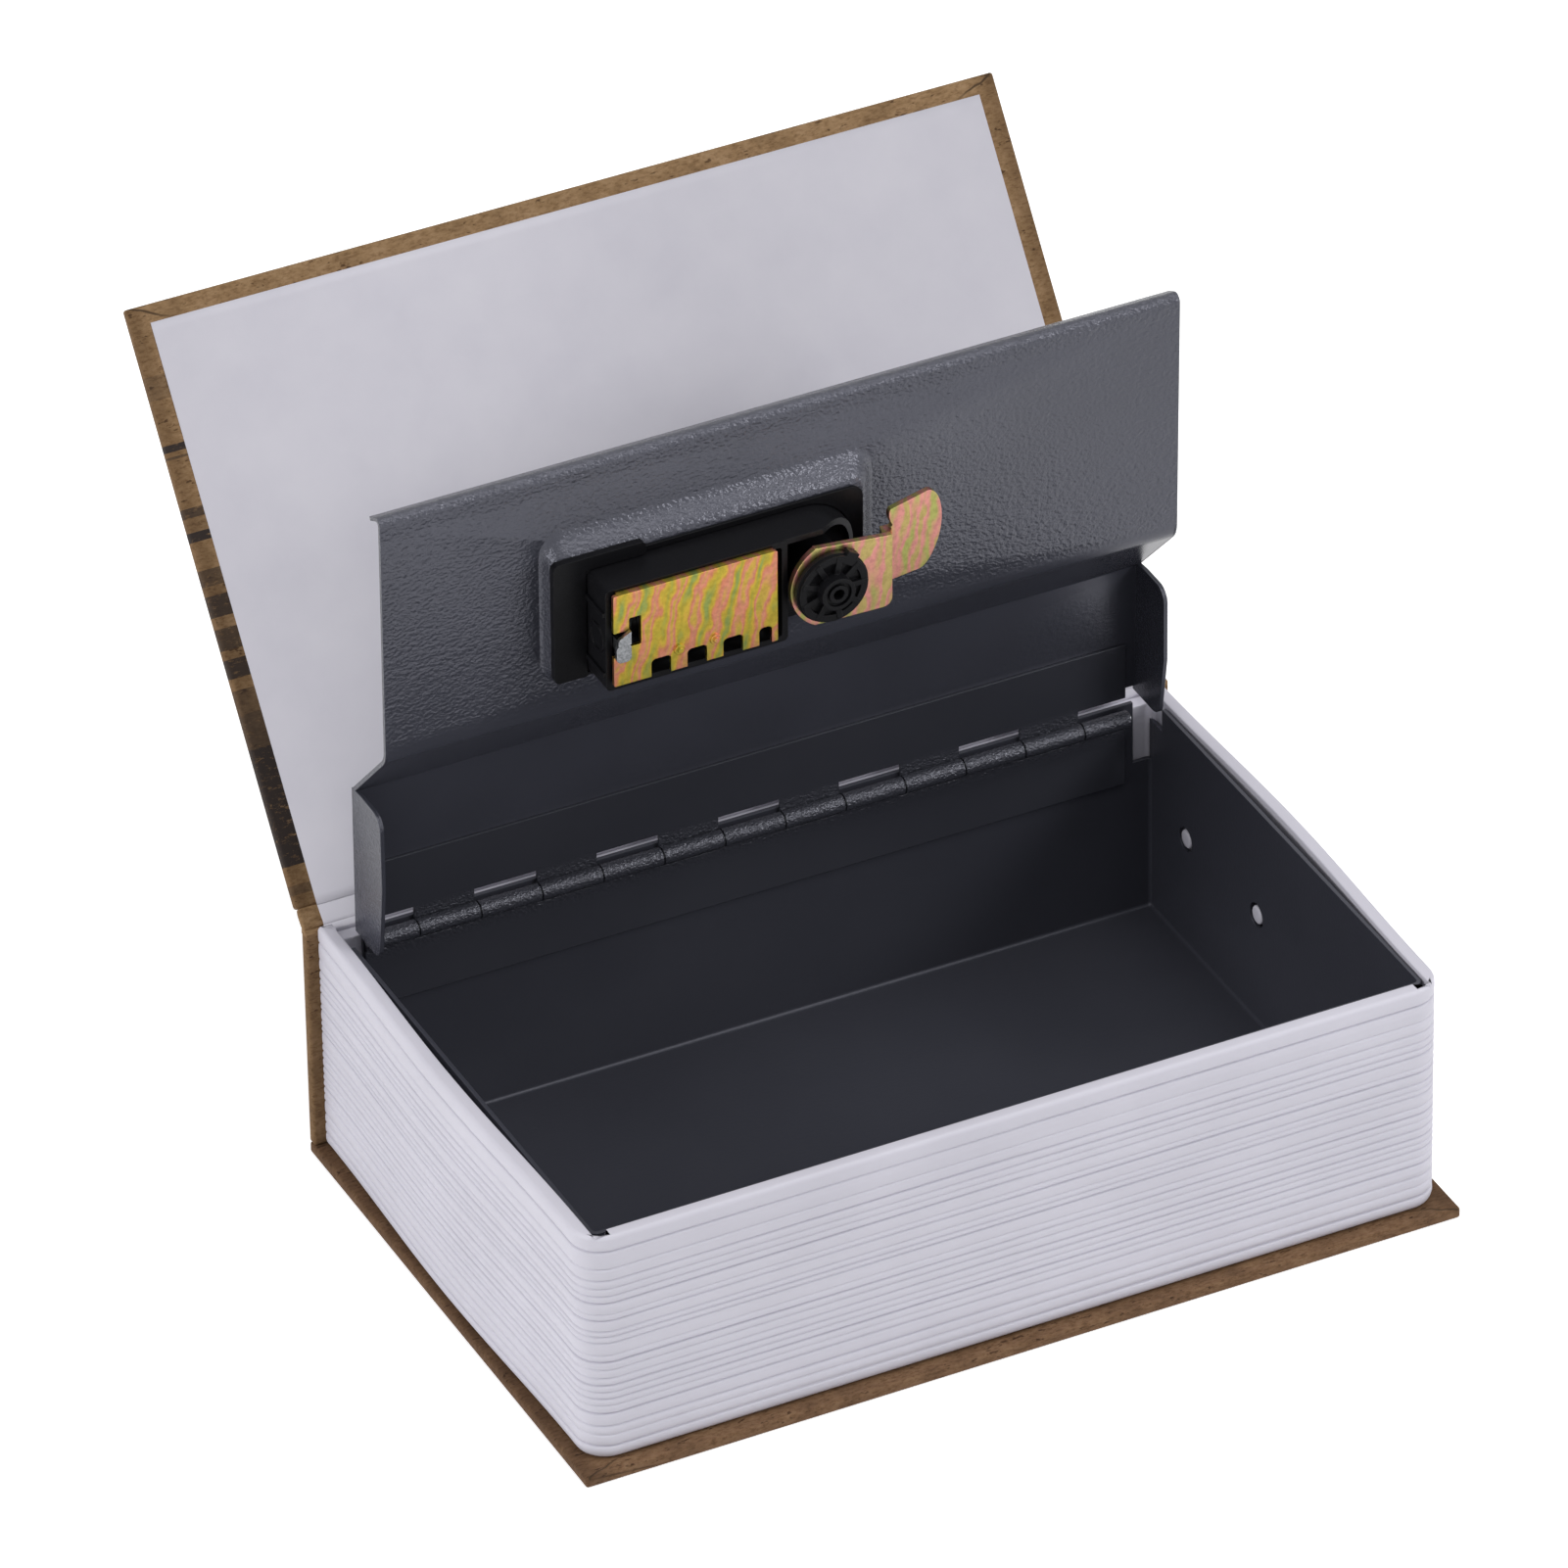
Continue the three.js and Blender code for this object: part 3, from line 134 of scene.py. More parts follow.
def kraft_paper(name, printed, shades):
    """Unbleached kraft paper: long brown fibres, dark flecks and a cloudy, matt surface. At the corners it
    is folded, which leaves a crease. The printed cover has worn dark bands and lines across it."""
    material, tree, place = new_material(name)
    stretched = add_node(tree, "ShaderNodeMapping", sockets={"Vector": place, "Scale": (0.4, 1, 1)})
    cloud = add_node(tree, "ShaderNodeTexNoise", sockets={
        "Vector": place, "Scale": 1 / (6 * MM), "Detail": 6.0, "Roughness": 0.62})
    fibre = add_node(tree, "ShaderNodeTexNoise", sockets={
        "Vector": stretched.outputs["Vector"], "Scale": 1 / (0.55 * MM), "Detail": 4.0, "Roughness": 0.7})
    fleck = add_node(tree, "ShaderNodeTexNoise", sockets={
        "Vector": stretched.outputs["Vector"], "Scale": 1 / (0.9 * MM), "Detail": 2.0, "Roughness": 0.6})
    base = add_node(tree, "ShaderNodeValToRGB", sockets={"Fac": cloud.outputs["Fac"]}, stops=shades)
    fibres = add_node(tree, "ShaderNodeValToRGB", sockets={"Fac": fibre.outputs["Fac"]}, stops=[
        (0.32, "#b0a08c"), (0.5, "#eae4da"), (0.68, "#ffffff")])
    flecks = add_node(tree, "ShaderNodeValToRGB", sockets={"Fac": fleck.outputs["Fac"]}, stops=[
        (0.3, "#7a6450"), (0.36, "#ffffff")])
    color = add_node(tree, "ShaderNodeMix", {"data_type": "RGBA", "blend_type": "MULTIPLY"}, {
        "Factor": 0.85, 6: base.outputs["Color"], 7: fibres.outputs["Color"]}).outputs[2]
    color = add_node(tree, "ShaderNodeMix", {"data_type": "RGBA", "blend_type": "MULTIPLY"}, {
        "Factor": 0.8, 6: color, 7: flecks.outputs["Color"]}).outputs[2]

    # The paper's own map: how far a point is from the cover's middle line along the paper, round the
    # edge and on to the inner side, and how far it is from the fore edge.
    sheet = add_node(tree, "ShaderNodeUVMap", {"uv_map": "paper"})
    split = add_node(tree, "ShaderNodeSeparateXYZ", sockets={"Vector": sheet.outputs["UV"]})
    aside = add_node(tree, "ShaderNodeMath", {"operation": "ABSOLUTE"}, {0: split.outputs["X"]})
    inward = add_node(tree, "ShaderNodeMath", {"operation": "SUBTRACT"}, {
        0: aside.outputs[0], 1: BOOK_LENGTH / 2 + BOARD})
    wobble = add_node(tree, "ShaderNodeTexNoise", sockets={"Vector": place, "Scale": 1 / (4 * MM)})
    sway = add_node(tree, "ShaderNodeMath", {"operation": "MULTIPLY_ADD"}, {
        0: wobble.outputs["Fac"], 1: CREASE_SWAY, 2: -CREASE_SWAY / 2})
    fold = add_node(tree, "ShaderNodeMath", {"operation": "MULTIPLY_ADD"}, {
        0: inward.outputs[0], 1: CREASE_SLOPE, 2: sway.outputs[0]})
    away = add_node(tree, "ShaderNodeMath", {"operation": "SUBTRACT"}, {
        0: split.outputs["Y"], 1: fold.outputs[0]})
    apart = add_node(tree, "ShaderNodeMath", {"operation": "ABSOLUTE"}, {0: away.outputs[0]})
    on_fold = add_node(tree, "ShaderNodeMapRange", sockets={
        "Value": apart.outputs[0], "From Min": CREASE_WIDTH[0], "From Max": CREASE_WIDTH[1],
        "To Min": 1.0, "To Max": 0.0})
    at_corner = add_node(tree, "ShaderNodeMapRange", sockets={
        "Value": inward.outputs[0], "From Min": CREASE_END[0], "From Max": CREASE_END[1],
        "To Min": 1.0, "To Max": 0.0})
    inside = add_node(tree, "ShaderNodeMath", {"operation": "GREATER_THAN"}, {0: inward.outputs[0], 1: 0.0})
    corner = add_node(tree, "ShaderNodeMath", {"operation": "MULTIPLY"}, {
        0: at_corner.outputs[0], 1: inside.outputs[0]})
    crease = add_node(tree, "ShaderNodeMath", {"operation": "MULTIPLY"}, {
        0: on_fold.outputs[0], 1: corner.outputs[0]})
    # The crease is darkened along its line: painted shade in its groove, besides the bump below.
    color = add_node(tree, "ShaderNodeMix", {"data_type": "RGBA"}, {
        "Factor": crease.outputs[0], 6: color, 7: linear("#4a3826")}).outputs[2]

    # The paper is darker round the board's edge: partly rubbed wear, partly painted shade on the edge faces.
    off_edge = add_node(tree, "ShaderNodeMath", {"operation": "ABSOLUTE"}, {0: inward.outputs[0]})
    worn_and_shaded_edge = add_node(tree, "ShaderNodeMapRange", sockets={
        "Value": off_edge.outputs[0], "From Min": WORN_AND_SHADED_EDGE[0], "From Max": WORN_AND_SHADED_EDGE[1],
        "To Min": 0.75, "To Max": 0.0})
    color = add_node(tree, "ShaderNodeMix", {"data_type": "RGBA", "blend_type": "MULTIPLY"}, {
        "Factor": worn_and_shaded_edge.outputs[0], 6: color, 7: linear("#c6bfb8")}).outputs[2]

    if printed:
        # Bands by distance from the fore edge, broken up where the ink has worn off the fibres.
        reach = add_node(tree, "ShaderNodeMath", {"operation": "DIVIDE"}, {
            0: split.outputs["Y"], 1: COVER_WIDTH})
        bands = add_node(tree, "ShaderNodeValToRGB", sockets={"Fac": reach.outputs[0]}, stops=PRINT_BANDS)
        bands.color_ramp.interpolation = "CONSTANT"
        worn = add_node(tree, "ShaderNodeTexNoise", sockets={
            "Vector": stretched.outputs["Vector"], "Scale": 1 / (0.75 * MM), "Detail": 5.0, "Roughness": 0.8})
        holes = add_node(tree, "ShaderNodeValToRGB", sockets={"Fac": worn.outputs["Fac"]}, stops=[
            (0.55, "#ffffff"), (0.66, "#787878")])
        field = add_node(tree, "ShaderNodeMapRange", sockets={
            "Value": split.outputs["X"], "From Min": PRINT_END[0], "From Max": PRINT_END[1],
            "To Min": 1.0, "To Max": 0.0})
        ink = add_node(tree, "ShaderNodeMath", {"operation": "MULTIPLY"}, {
            0: bands.outputs["Color"], 1: holes.outputs["Color"]})
        ink = add_node(tree, "ShaderNodeMath", {"operation": "MULTIPLY"}, {
            0: ink.outputs[0], 1: field.outputs[0]})
        color = add_node(tree, "ShaderNodeMix", {"data_type": "RGBA"}, {
            "Factor": ink.outputs[0], 6: color, 7: linear("#2c2421")}).outputs[2]

    relief = add_node(tree, "ShaderNodeMath", {"operation": "MULTIPLY_ADD"}, {
        0: crease.outputs[0], 1: -3.0, 2: fibre.outputs["Fac"]})
    bump = add_node(tree, "ShaderNodeBump", sockets={
        "Strength": 0.6, "Distance": 0.05 * MM, "Height": relief.outputs[0]})
    finish_material(tree, {"Base Color": color, "Roughness": 0.82, "Specular IOR Level": 0.25,
                           "Normal": bump.outputs["Normal"]})
    return material


# These darker shades are the same kraft as the lighter ones below, darkened for the back cover: painted
# shade.
SHADED_BROWN = [(0.3, "#6d543f"), (0.5, "#7d6149"), (0.7, "#8b6f55")]
LIGHT_BROWN = [(0.3, "#846a4d"), (0.5, "#967a5a"), (0.7, "#a48869")]
KRAFT = kraft_paper("kraft_paper_unbleached", False, LIGHT_BROWN)


def surface(name, rings, paper=None, wrapped=False):
    """A closed surface from a grid of points, rings x around x 3: each ring is closed. The first and last
    ring are closed by a face each, or joined to each other where the surface is wrapped. The paper is a
    grid of places on the flat sheet, one more around than the points, because the sheet's ends meet."""
    count, around = rings.shape[:2]
    i, j = np.meshgrid(np.arange(count if wrapped else count - 1), np.arange(around), indexing="ij")
    after = (i + 1) % count
    beside = (j + 1) % around
    quads = np.stack([i * around + j, i * around + beside, after * around + beside, after * around + j], -1)
    faces = quads.reshape(-1, 4).tolist()
    if not wrapped:
        faces += [list(range(around))[::-1], list(range((count - 1) * around, count * around))]
    mesh = bpy.data.meshes.new(name)
    mesh.from_pydata(rings.reshape(-1, 3).tolist(), [], faces)
    if paper is not None:
        layer = mesh.uv_layers.new(name="paper")
        corners = np.stack([paper[i, j], paper[i, j + 1], paper[i + 1, j + 1], paper[i + 1, j]], 2)
        ends = np.concatenate([paper[0, :-1][::-1], paper[-1, :-1]])
        flat = np.concatenate([corners.reshape(-1, 2), ends])
        layer.data.foreach_set("uv", flat.astype(np.float32).ravel())
    shape = bmesh.new()
    shape.from_mesh(mesh)
    bmesh.ops.recalc_face_normals(shape, faces=shape.faces)
    shape.to_mesh(mesh)
    shape.free()
    mesh.shade_smooth()
    return mesh


def wrapped_board(name, start, end, low, thickness, frame_of_board, fore_edge):
    """A board in paper: a rounded rectangle in x and thickness is carried from start to end, and shrinks
    at both ends by a quarter circle, so that every edge has the paper's bend. Low waves press the faces
    in by less than UNEVEN. Its map is the paper laid flat, with the distance from the fore edge. Faces and
    length are cut into steps of a few millimetres, so that the waves show."""
    origin, along, out = (np.array(v, float) for v in frame_of_board)
    half = BOOK_LENGTH / 2 - PAPER_BEND
    deep = thickness / 2 - PAPER_BEND
    steps = 30
    outer_face = np.linspace(-half, half, 2 * steps + 1)
    inner_left = np.linspace(0, -half, steps + 1)
    inner_right = np.linspace(half, 0, steps + 1)[:-1]
    # Each long edge goes round in eight points, four on either side of its middle.
    arc = np.radians([67.5, 45, 22.5, 0, 0, -22.5, -45, -67.5])
    side = np.array([1, 1, 1, 1, -1, -1, -1, -1])
    left_edge = np.full_like(arc, -half)
    core_x = np.concatenate([inner_left, left_edge, outer_face, -left_edge, inner_right])
    core_w = deep * np.concatenate([
        np.full_like(inner_left, -1), -side, np.ones_like(outer_face), side, np.full_like(inner_right, -1)])
    angle = np.concatenate([
        np.full_like(inner_left, -pi / 2), -pi + arc, np.full_like(outer_face, pi / 2), arc,
        np.full_like(inner_right, -pi / 2)])
    turn = np.linspace(0.08, pi / 2, 6)
    middle = np.linspace(start + PAPER_BEND, end - PAPER_BEND, 42)[1:-1]
    end_round = PAPER_BEND * (1 - np.cos(turn))
    places = np.concatenate([start + end_round, middle, (end - end_round)[::-1]])
    radii = PAPER_BEND * np.concatenate([np.sin(turn), np.ones_like(middle), np.sin(turn)[::-1]])
    waver = 2 * np.sin(places[:, None] / (23 * MM))
    wave = 0.5 + 0.5 * np.sin(core_x / (17 * MM) + waver + 3 * core_w / deep)
    radius = radii[:, None] - UNEVEN * wave * (radii[:, None] / PAPER_BEND) ** 4
    x = core_x + radius * np.cos(angle)
    w = low + thickness / 2 + core_w + radius * np.sin(angle)
    rings = origin + x[..., None] * np.array([1, 0, 0]) + places[:, None, None] * along + w[..., None] * out
    outline_x = core_x + PAPER_BEND * np.cos(angle)
    outline_w = core_w + PAPER_BEND * np.sin(angle)
    length = np.concatenate([[0], np.cumsum(np.hypot(np.diff(outline_x), np.diff(outline_w)))])
    whole = length[-1] + half / steps
    laid = np.append(length, whole) - whole / 2
    paper = np.stack(np.broadcast_arrays(laid, np.abs(places - fore_edge)[:, None]), -1)
    return surface(name, rings, paper)


def new_piece(name, mesh, material, body, slot, *nodes):
    """Puts a finished mesh into the scene: it rides on its body and stands for these CAD nodes."""
    piece = bpy.data.objects.new(name, mesh)
    bpy.context.scene.collection.objects.link(piece)
    mesh.materials.clear()
    mesh.materials.append(material)
    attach(piece, body)
    if nodes:
        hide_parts(*nodes)


# The back cover's paper takes the darker shades: painted shade near and under the page block.
SHADED_BACK_KRAFT = kraft_paper("kraft_paper_shaded", False, SHADED_BROWN)
back_cover = wrapped_board(
    "back_cover", -BOOK_DEPTH / 2, BOOK_DEPTH / 2, -BOARD, BOARD, ((0, 0, 0), (0, 1, 0), (0, 0, -1)),
    -BOOK_DEPTH / 2)
new_piece("back_cover_kraft", back_cover, SHADED_BACK_KRAFT, "case", "kraft_paper", "back_board_kraft")

# Spine: a second strip of board in the same sheet of kraft paper, standing on the back cover's edge.

SPINE_FOOT = 2.5 * MM
SPINE_TOP = 50.3 * MM
NO_FORE_EDGE = -1  # a place a metre away, so that the spine has no creased corners

spine = wrapped_board(
    "spine", SPINE_FOOT, SPINE_TOP, -BOARD, BOARD, ((0, BOOK_DEPTH / 2, 0), (0, 0, 1), (0, 1, 0)),
    NO_FORE_EDGE)
new_piece("spine_kraft_finished", spine, KRAFT, "case", "kraft_paper", "spine_kraft")

# Front cover: the third board, printed on its kraft paper and leaning back on the joint. The sizes run
# from the cover's pivot: up the cover, and out of its outer face.

PIVOT = np.array((0, 60.6726, 53.2689)) * MM
UP_COVER = (0, 0.588, 0.809)
OUT_COVER = (0, 0.809, -0.588)
COVER_INNER = -0.521 * MM
COVER_FOOT = 0.5 * MM
COVER_TIP = 115.68 * MM

PRINTED_KRAFT = kraft_paper("kraft_paper_printed", True, LIGHT_BROWN)
front_cover = wrapped_board(
    "front_cover", COVER_FOOT, COVER_TIP, COVER_INNER, BOARD, (PIVOT, UP_COVER, OUT_COVER), COVER_TIP)
new_piece("front_cover_kraft", front_cover, PRINTED_KRAFT, "front_cover", "kraft_paper",
          "front_board_kraft")

# Joint: between spine and front cover the kraft paper alone makes the hinge of the book. It is drawn
# as a slim sleeve with a round back at each of the two lines on which it turns.

SPINE_LINE = np.array((58.6, 51.1)) * MM
COVER_LINE = PIVOT[1:]
SLEEVE_AT_SPINE = 0.75 * MM
SLEEVE_AT_COVER = 0.62 * MM
SLEEVE_EDGE = 0.5 * MM
FOLD_EDGE = 0.2 * MM
joint_lean = np.arctan2(*(COVER_LINE - SPINE_LINE)[::-1])


def across_book(name, section, half_length, edge=0.0):
    """A section in the y-z plane carried along x. With an edge, both ends are rounded off: over that
    length the section shrinks towards its middle in two steps."""
    centre = section.mean(axis=0)
    places = np.array([-half_length, half_length])
    shrink = np.ones(2)
    if edge:
        inset = np.array([0, 0.3, 1]) * edge
        places = np.concatenate([inset - half_length, half_length - inset[::-1]])
        shrink = np.array([0.6, 0.9, 1, 1, 0.9, 0.6])
    points = centre + (section - centre) * shrink[:, None, None]
    x = np.broadcast_to(places[:, None, None], (*points.shape[:2], 1))
    return surface(name, np.concatenate([x, points], axis=2))


def ring_points(centre, radius, angles):
    """Points on a circle in the y-z plane."""
    return centre + radius * np.stack([np.cos(angles), np.sin(angles)], -1)


low_round = np.linspace(joint_lean + pi / 2, joint_lean + 3 * pi / 2, 13)
high_round = np.linspace(joint_lean - pi / 2, joint_lean + pi / 2, 13)
sleeve = np.concatenate([ring_points(SPINE_LINE, SLEEVE_AT_SPINE, low_round),
                         ring_points(COVER_LINE, SLEEVE_AT_COVER, high_round)])
new_piece("joint_kraft", across_book("joint_kraft", sleeve, BOOK_LENGTH / 2, SLEEVE_EDGE), KRAFT,
          "joint_strip", "kraft_paper", "cover_joint_kraft")

# Under the fold the same paper closes the groove between the spine's rounded top and the sleeve. It
# covers the top of the spine's board on both sides and ends on the joint's lower line.
fold_section = np.array([(59.19, 49.6), (59.19, 50.64), (58.6, 51.1), (57.8, 50.75), (57.07, 50.63),
                         (57.07, 49.6)]) * MM
new_piece("joint_fold_kraft", across_book("joint_fold_kraft", fold_section, BOOK_LENGTH / 2, FOLD_EDGE),
          KRAFT, "case", "kraft_paper")

# Endpapers: smooth off-white paper pasted over the inner faces of the covers, across the joint and
# down behind the page block.

ENDPAPER_THICKNESS = 0.15 * MM
ENDPAPER_HALF = 86 * MM
ENDPAPER_FOOT = 0.4 * MM
ENDPAPER_END = 112.2 * MM
JOINT_ENDPAPER = 0.045 * MM  # only a film over the sleeve, so that the joint stays slim
SPINE_ENDPAPER = 0.1 * MM
BACK_ENDPAPER_HALF = 83 * MM
BACK_ENDPAPER_LEVEL = 2.5 * MM


def endpaper_sheet():
    """Off-white offset paper: matt, with a faint cloudy formation and fine tooth."""
    material, tree, place = new_material("endpaper_offset_paper")
    cloud = add_node(tree, "ShaderNodeTexNoise", sockets={
        "Vector": place, "Scale": 1 / (14 * MM), "Detail": 4.0, "Roughness": 0.55})
    tooth = add_node(tree, "ShaderNodeTexNoise", sockets={
        "Vector": place, "Scale": 1 / (0.5 * MM), "Detail": 3.0})
    base = add_node(tree, "ShaderNodeValToRGB", sockets={"Fac": cloud.outputs["Fac"]}, stops=[
        (0.3, "#cbc9d3"), (0.7, "#d1cfd8")])
    bump = add_node(tree, "ShaderNodeBump", sockets={
        "Strength": 0.4, "Distance": 0.02 * MM, "Height": tooth.outputs["Fac"]})
    finish_material(tree, {"Base Color": base.outputs["Color"], "Roughness": 0.75,
                           "Specular IOR Level": 0.3, "Normal": bump.outputs["Normal"]})
    return material


ENDPAPER = endpaper_sheet()


def paper_strip(name, path, thickness, half_length):
    """A sheet across the book: a path in the y-z plane, given the paper's thickness on its left side."""
    along = np.gradient(path, axis=0)
    along /= np.linalg.norm(along, axis=1)[:, None]
    left = np.stack([-along[:, 1], along[:, 0]], -1)
    return across_book(name, np.concatenate([path, (path + thickness * left)[::-1]]), half_length)


def on_cover(up, out):
    """The place in the y-z plane that is this far up the front cover and out of its pivot's plane."""
    return COVER_LINE + up * np.array(UP_COVER[1:]) + out * np.array(OUT_COVER[1:])


cover_path = np.array([on_cover(up, COVER_INNER - ENDPAPER_THICKNESS)
                       for up in np.linspace(ENDPAPER_END, ENDPAPER_FOOT, 60)])
front_endpaper = paper_strip("front_endpaper", cover_path, ENDPAPER_THICKNESS, ENDPAPER_HALF)
new_piece("front_endpaper_sheet", front_endpaper, ENDPAPER, "front_cover", "endpaper", "front_endpaper")

joint_path = np.concatenate([
    ring_points(COVER_LINE, SLEEVE_AT_COVER, joint_lean + np.radians(np.linspace(60, 90, 6))),
    ring_points(SPINE_LINE, SLEEVE_AT_SPINE, joint_lean + np.radians(np.linspace(90, 170, 10)))])
joint_endpaper = paper_strip("joint_endpaper", joint_path, -JOINT_ENDPAPER, ENDPAPER_HALF)
new_piece("joint_endpaper_sheet", joint_endpaper, ENDPAPER, "joint_strip", "endpaper", "joint_endpaper")

# From the joint the paper curves down to the spine and goes behind the page block.
spine_path = np.array([(57.62, 51.15), (57.4, 50.9), (56.9, 50.5), (56.72, 50.2), (56.72, 49.45)]) * MM
spine_endpaper = paper_strip("spine_endpaper", spine_path, SPINE_ENDPAPER, ENDPAPER_HALF)
new_piece("spine_endpaper", spine_endpaper, ENDPAPER, "case", "endpaper")

# The sheet under the page block lies flat on the back cover.
back_y = np.linspace(56.6, -51.5, 30) * MM
back_path = np.stack([back_y, np.full_like(back_y, BACK_ENDPAPER_LEVEL)], -1)
back_endpaper = paper_strip("back_endpaper", back_path, -ENDPAPER_THICKNESS, BACK_ENDPAPER_HALF)
new_piece("back_endpaper_sheet", back_endpaper, ENDPAPER, "case", "endpaper", "back_endpaper")

# Grey board: recycled pulp board inside the three covers, out of sight under the paper.


def grey_board():
    """Grey binder's board of recycled pulp: matt, with coarse pale and dark fibres."""
    material, tree, place = new_material("grey_binders_board")
    pulp = add_node(tree, "ShaderNodeTexNoise", sockets={
        "Vector": place, "Scale": 1 / (0.7 * MM), "Detail": 4.0})
    base = add_node(tree, "ShaderNodeValToRGB", sockets={"Fac": pulp.outputs["Fac"]}, stops=[
        (0.3, "#8c867c"), (0.7, "#a49e93")])
    finish_material(tree, {"Base Color": base.outputs["Color"], "Roughness": 0.95})
    return material


GREY_BOARD = grey_board()
for name in ("back_board", "spine_board", "front_board"):
    frame["nodes"][name].data.materials.clear()
    frame["nodes"][name].data.materials.append(GREY_BOARD)

# Page block: one moulding of white plastic that imitates the edges of a thick book's pages. Its wall is
# smooth inside and grooved outside, its rim is rounded, and four pegs inside hold the steel tray.

BLOCK_HALF = 87.8 * MM
BLOCK_FRONT = -56.3 * MM
BLOCK_BACK = 56.7 * MM
BLOCK_FOOT = 2.75 * MM
BLOCK_TOP = 52 * MM
BLOCK_WALL = 2.7 * MM
FRONT_CORNER = 6 * MM
BACK_CORNER = 0.6 * MM
BACK_WALL_TOP = 49.4 * MM
RIM_ROUND = 0.8 * MM
RIM_INNER_ROUND = 0.3 * MM
FOOT_ROUND = 1.2 * MM
FOOT_INSET = 0.7 * MM
GROOVE_DEPTH = 0.4 * MM
GROOVE_WIDTH = 0.19 * MM
GROOVE_WAVER = 0.08 * MM  # how far a groove strays up and down along the block
LEAF_SWELL = 0.14 * MM  # how far the pages between two grooves stand out
LEAF_BASE = 0.05 * MM  # how far the pages' wall lies inside the outline
SIDE_BOW = 1.2 * MM  # the long thin side walls bulge away from the tray in the middle
NOTCH_WIDTH = 3.0 * MM
NOTCH_DEPTH = 1.7 * MM
NOTCH_DROP = 3 * MM
# Grooves, in millimetres below the rim, read off the front corner.
GROOVES = np.array([3.4, 7.2, 9.7, 11.6, 13.2, 14.7, 17.3, 18.6, 21.0, 22.3, 23.6, 26.3, 27.9, 29.6, 31.4,
                    33.1, 34.6, 36.0, 37.6, 39.3, 42.1, 44.2, 46.6]) * MM
PEG_RADIUS = 1.9 * MM
PEG_HEIGHT = 27.4 * MM
PEG_LENGTH = 1.1 * MM
PEG_ROUND = 0.5 * MM
PEG_ROOT = SIDE_BOW + 0.2 * MM  # the peg starts inside the bulging wall
PEG_PLACES = (BLOCK_FRONT + 66.6 * MM, BLOCK_FRONT + 95 * MM)


def block_plan():
    """The block's outline seen from above, as points with their outward directions and the distance run
    along it, and the outline of its hollow twice: plain below, and with a notch at both front corners at
    the top. Straight runs have a point about every 4 mm and outer corners are quarter circles."""
    inner = BLOCK_HALF - BLOCK_WALL
    inner_front = BLOCK_FRONT + BLOCK_WALL
    inner_back = BLOCK_BACK - BLOCK_WALL
    notch = inner - NOTCH_WIDTH
    middle = inner - NOTCH_WIDTH / 2
    gap = 0.01 * MM  # the low back wall steps down within this width
    fx, fy = BLOCK_HALF - FRONT_CORNER, BLOCK_FRONT + FRONT_CORNER
    bx, by = BLOCK_HALF - BACK_CORNER, BLOCK_BACK - BACK_CORNER

    front_x = np.linspace(-fx, fx, 42)
    front = np.stack([front_x, np.full_like(front_x, BLOCK_FRONT)], -1)
    front_turn = -pi / 2 + np.radians(np.linspace(9, 81, 9))
    front_ways = np.stack([np.cos(front_turn), np.sin(front_turn)], -1)
    side_y = np.linspace(fy, by, 28)
    side_bow = SIDE_BOW * np.sin(np.linspace(0, pi, len(side_y))) ** 2
    side = np.stack([BLOCK_HALF + side_bow, side_y], -1)
    back_turn = np.radians([22.5, 45, 67.5])
    back_ways = np.stack([np.cos(back_turn), np.sin(back_turn)], -1)
    back_x = np.sort(np.concatenate([np.linspace(0, bx, 22), [inner, inner + gap]]))[::-1]
    back = np.stack([back_x, np.full_like(back_x, BLOCK_BACK)], -1)

    # The hollow's front corner has as many points as the block's. The notch goes from the second to the
    # seventh, and the last three lead on along the side wall.
    corner_x = np.array([(fx + notch) / 2, notch, notch, middle, inner, inner, inner, inner, inner])
    corner_low = inner_front + np.array([0, 0, 0, 0, 0, 0, 0.5, 1.5, 2.5]) * MM
    corner_high = corner_low - NOTCH_DEPTH * np.array([0, 0, 1, 1, 1, 0.5, 0, 0, 0])
    inner_side = np.stack([inner + side_bow, np.minimum(side_y, inner_back)], -1)
    inner_corner = np.tile((inner, inner_back), (3, 1))
    inner_run = np.stack([np.minimum(back_x, inner), np.full_like(back_x, inner_back)], -1)
    inner_rest = np.concatenate([inner_side, inner_corner, inner_run])

    half = front[len(front) // 2 :]
    half_ways = np.tile((0.0, -1.0), (len(half), 1))
    outer = np.concatenate([half, (fx, fy) + FRONT_CORNER * front_ways, side,
                            (bx, by) + BACK_CORNER * back_ways, back])
    ways = np.concatenate([half_ways, front_ways, np.tile((1.0, 0.0), (len(side), 1)), back_ways,
                           np.tile((0.0, 1.0), (len(back), 1))])
    inner_half = half + (0, BLOCK_WALL)
    low = np.concatenate([inner_half, np.stack([corner_x, corner_low], -1), inner_rest])
    high = np.concatenate([inner_half, np.stack([corner_x, corner_high], -1), inner_rest])
    mirror = np.array((-1.0, 1.0))
    outlines = [np.concatenate([part, (part * mirror)[-2::-1]]) for part in (outer, ways, low, high)]
    step = np.linalg.norm(np.diff(outlines[0], axis=0), axis=1)
    return outlines, np.concatenate([[0], np.cumsum(step)])


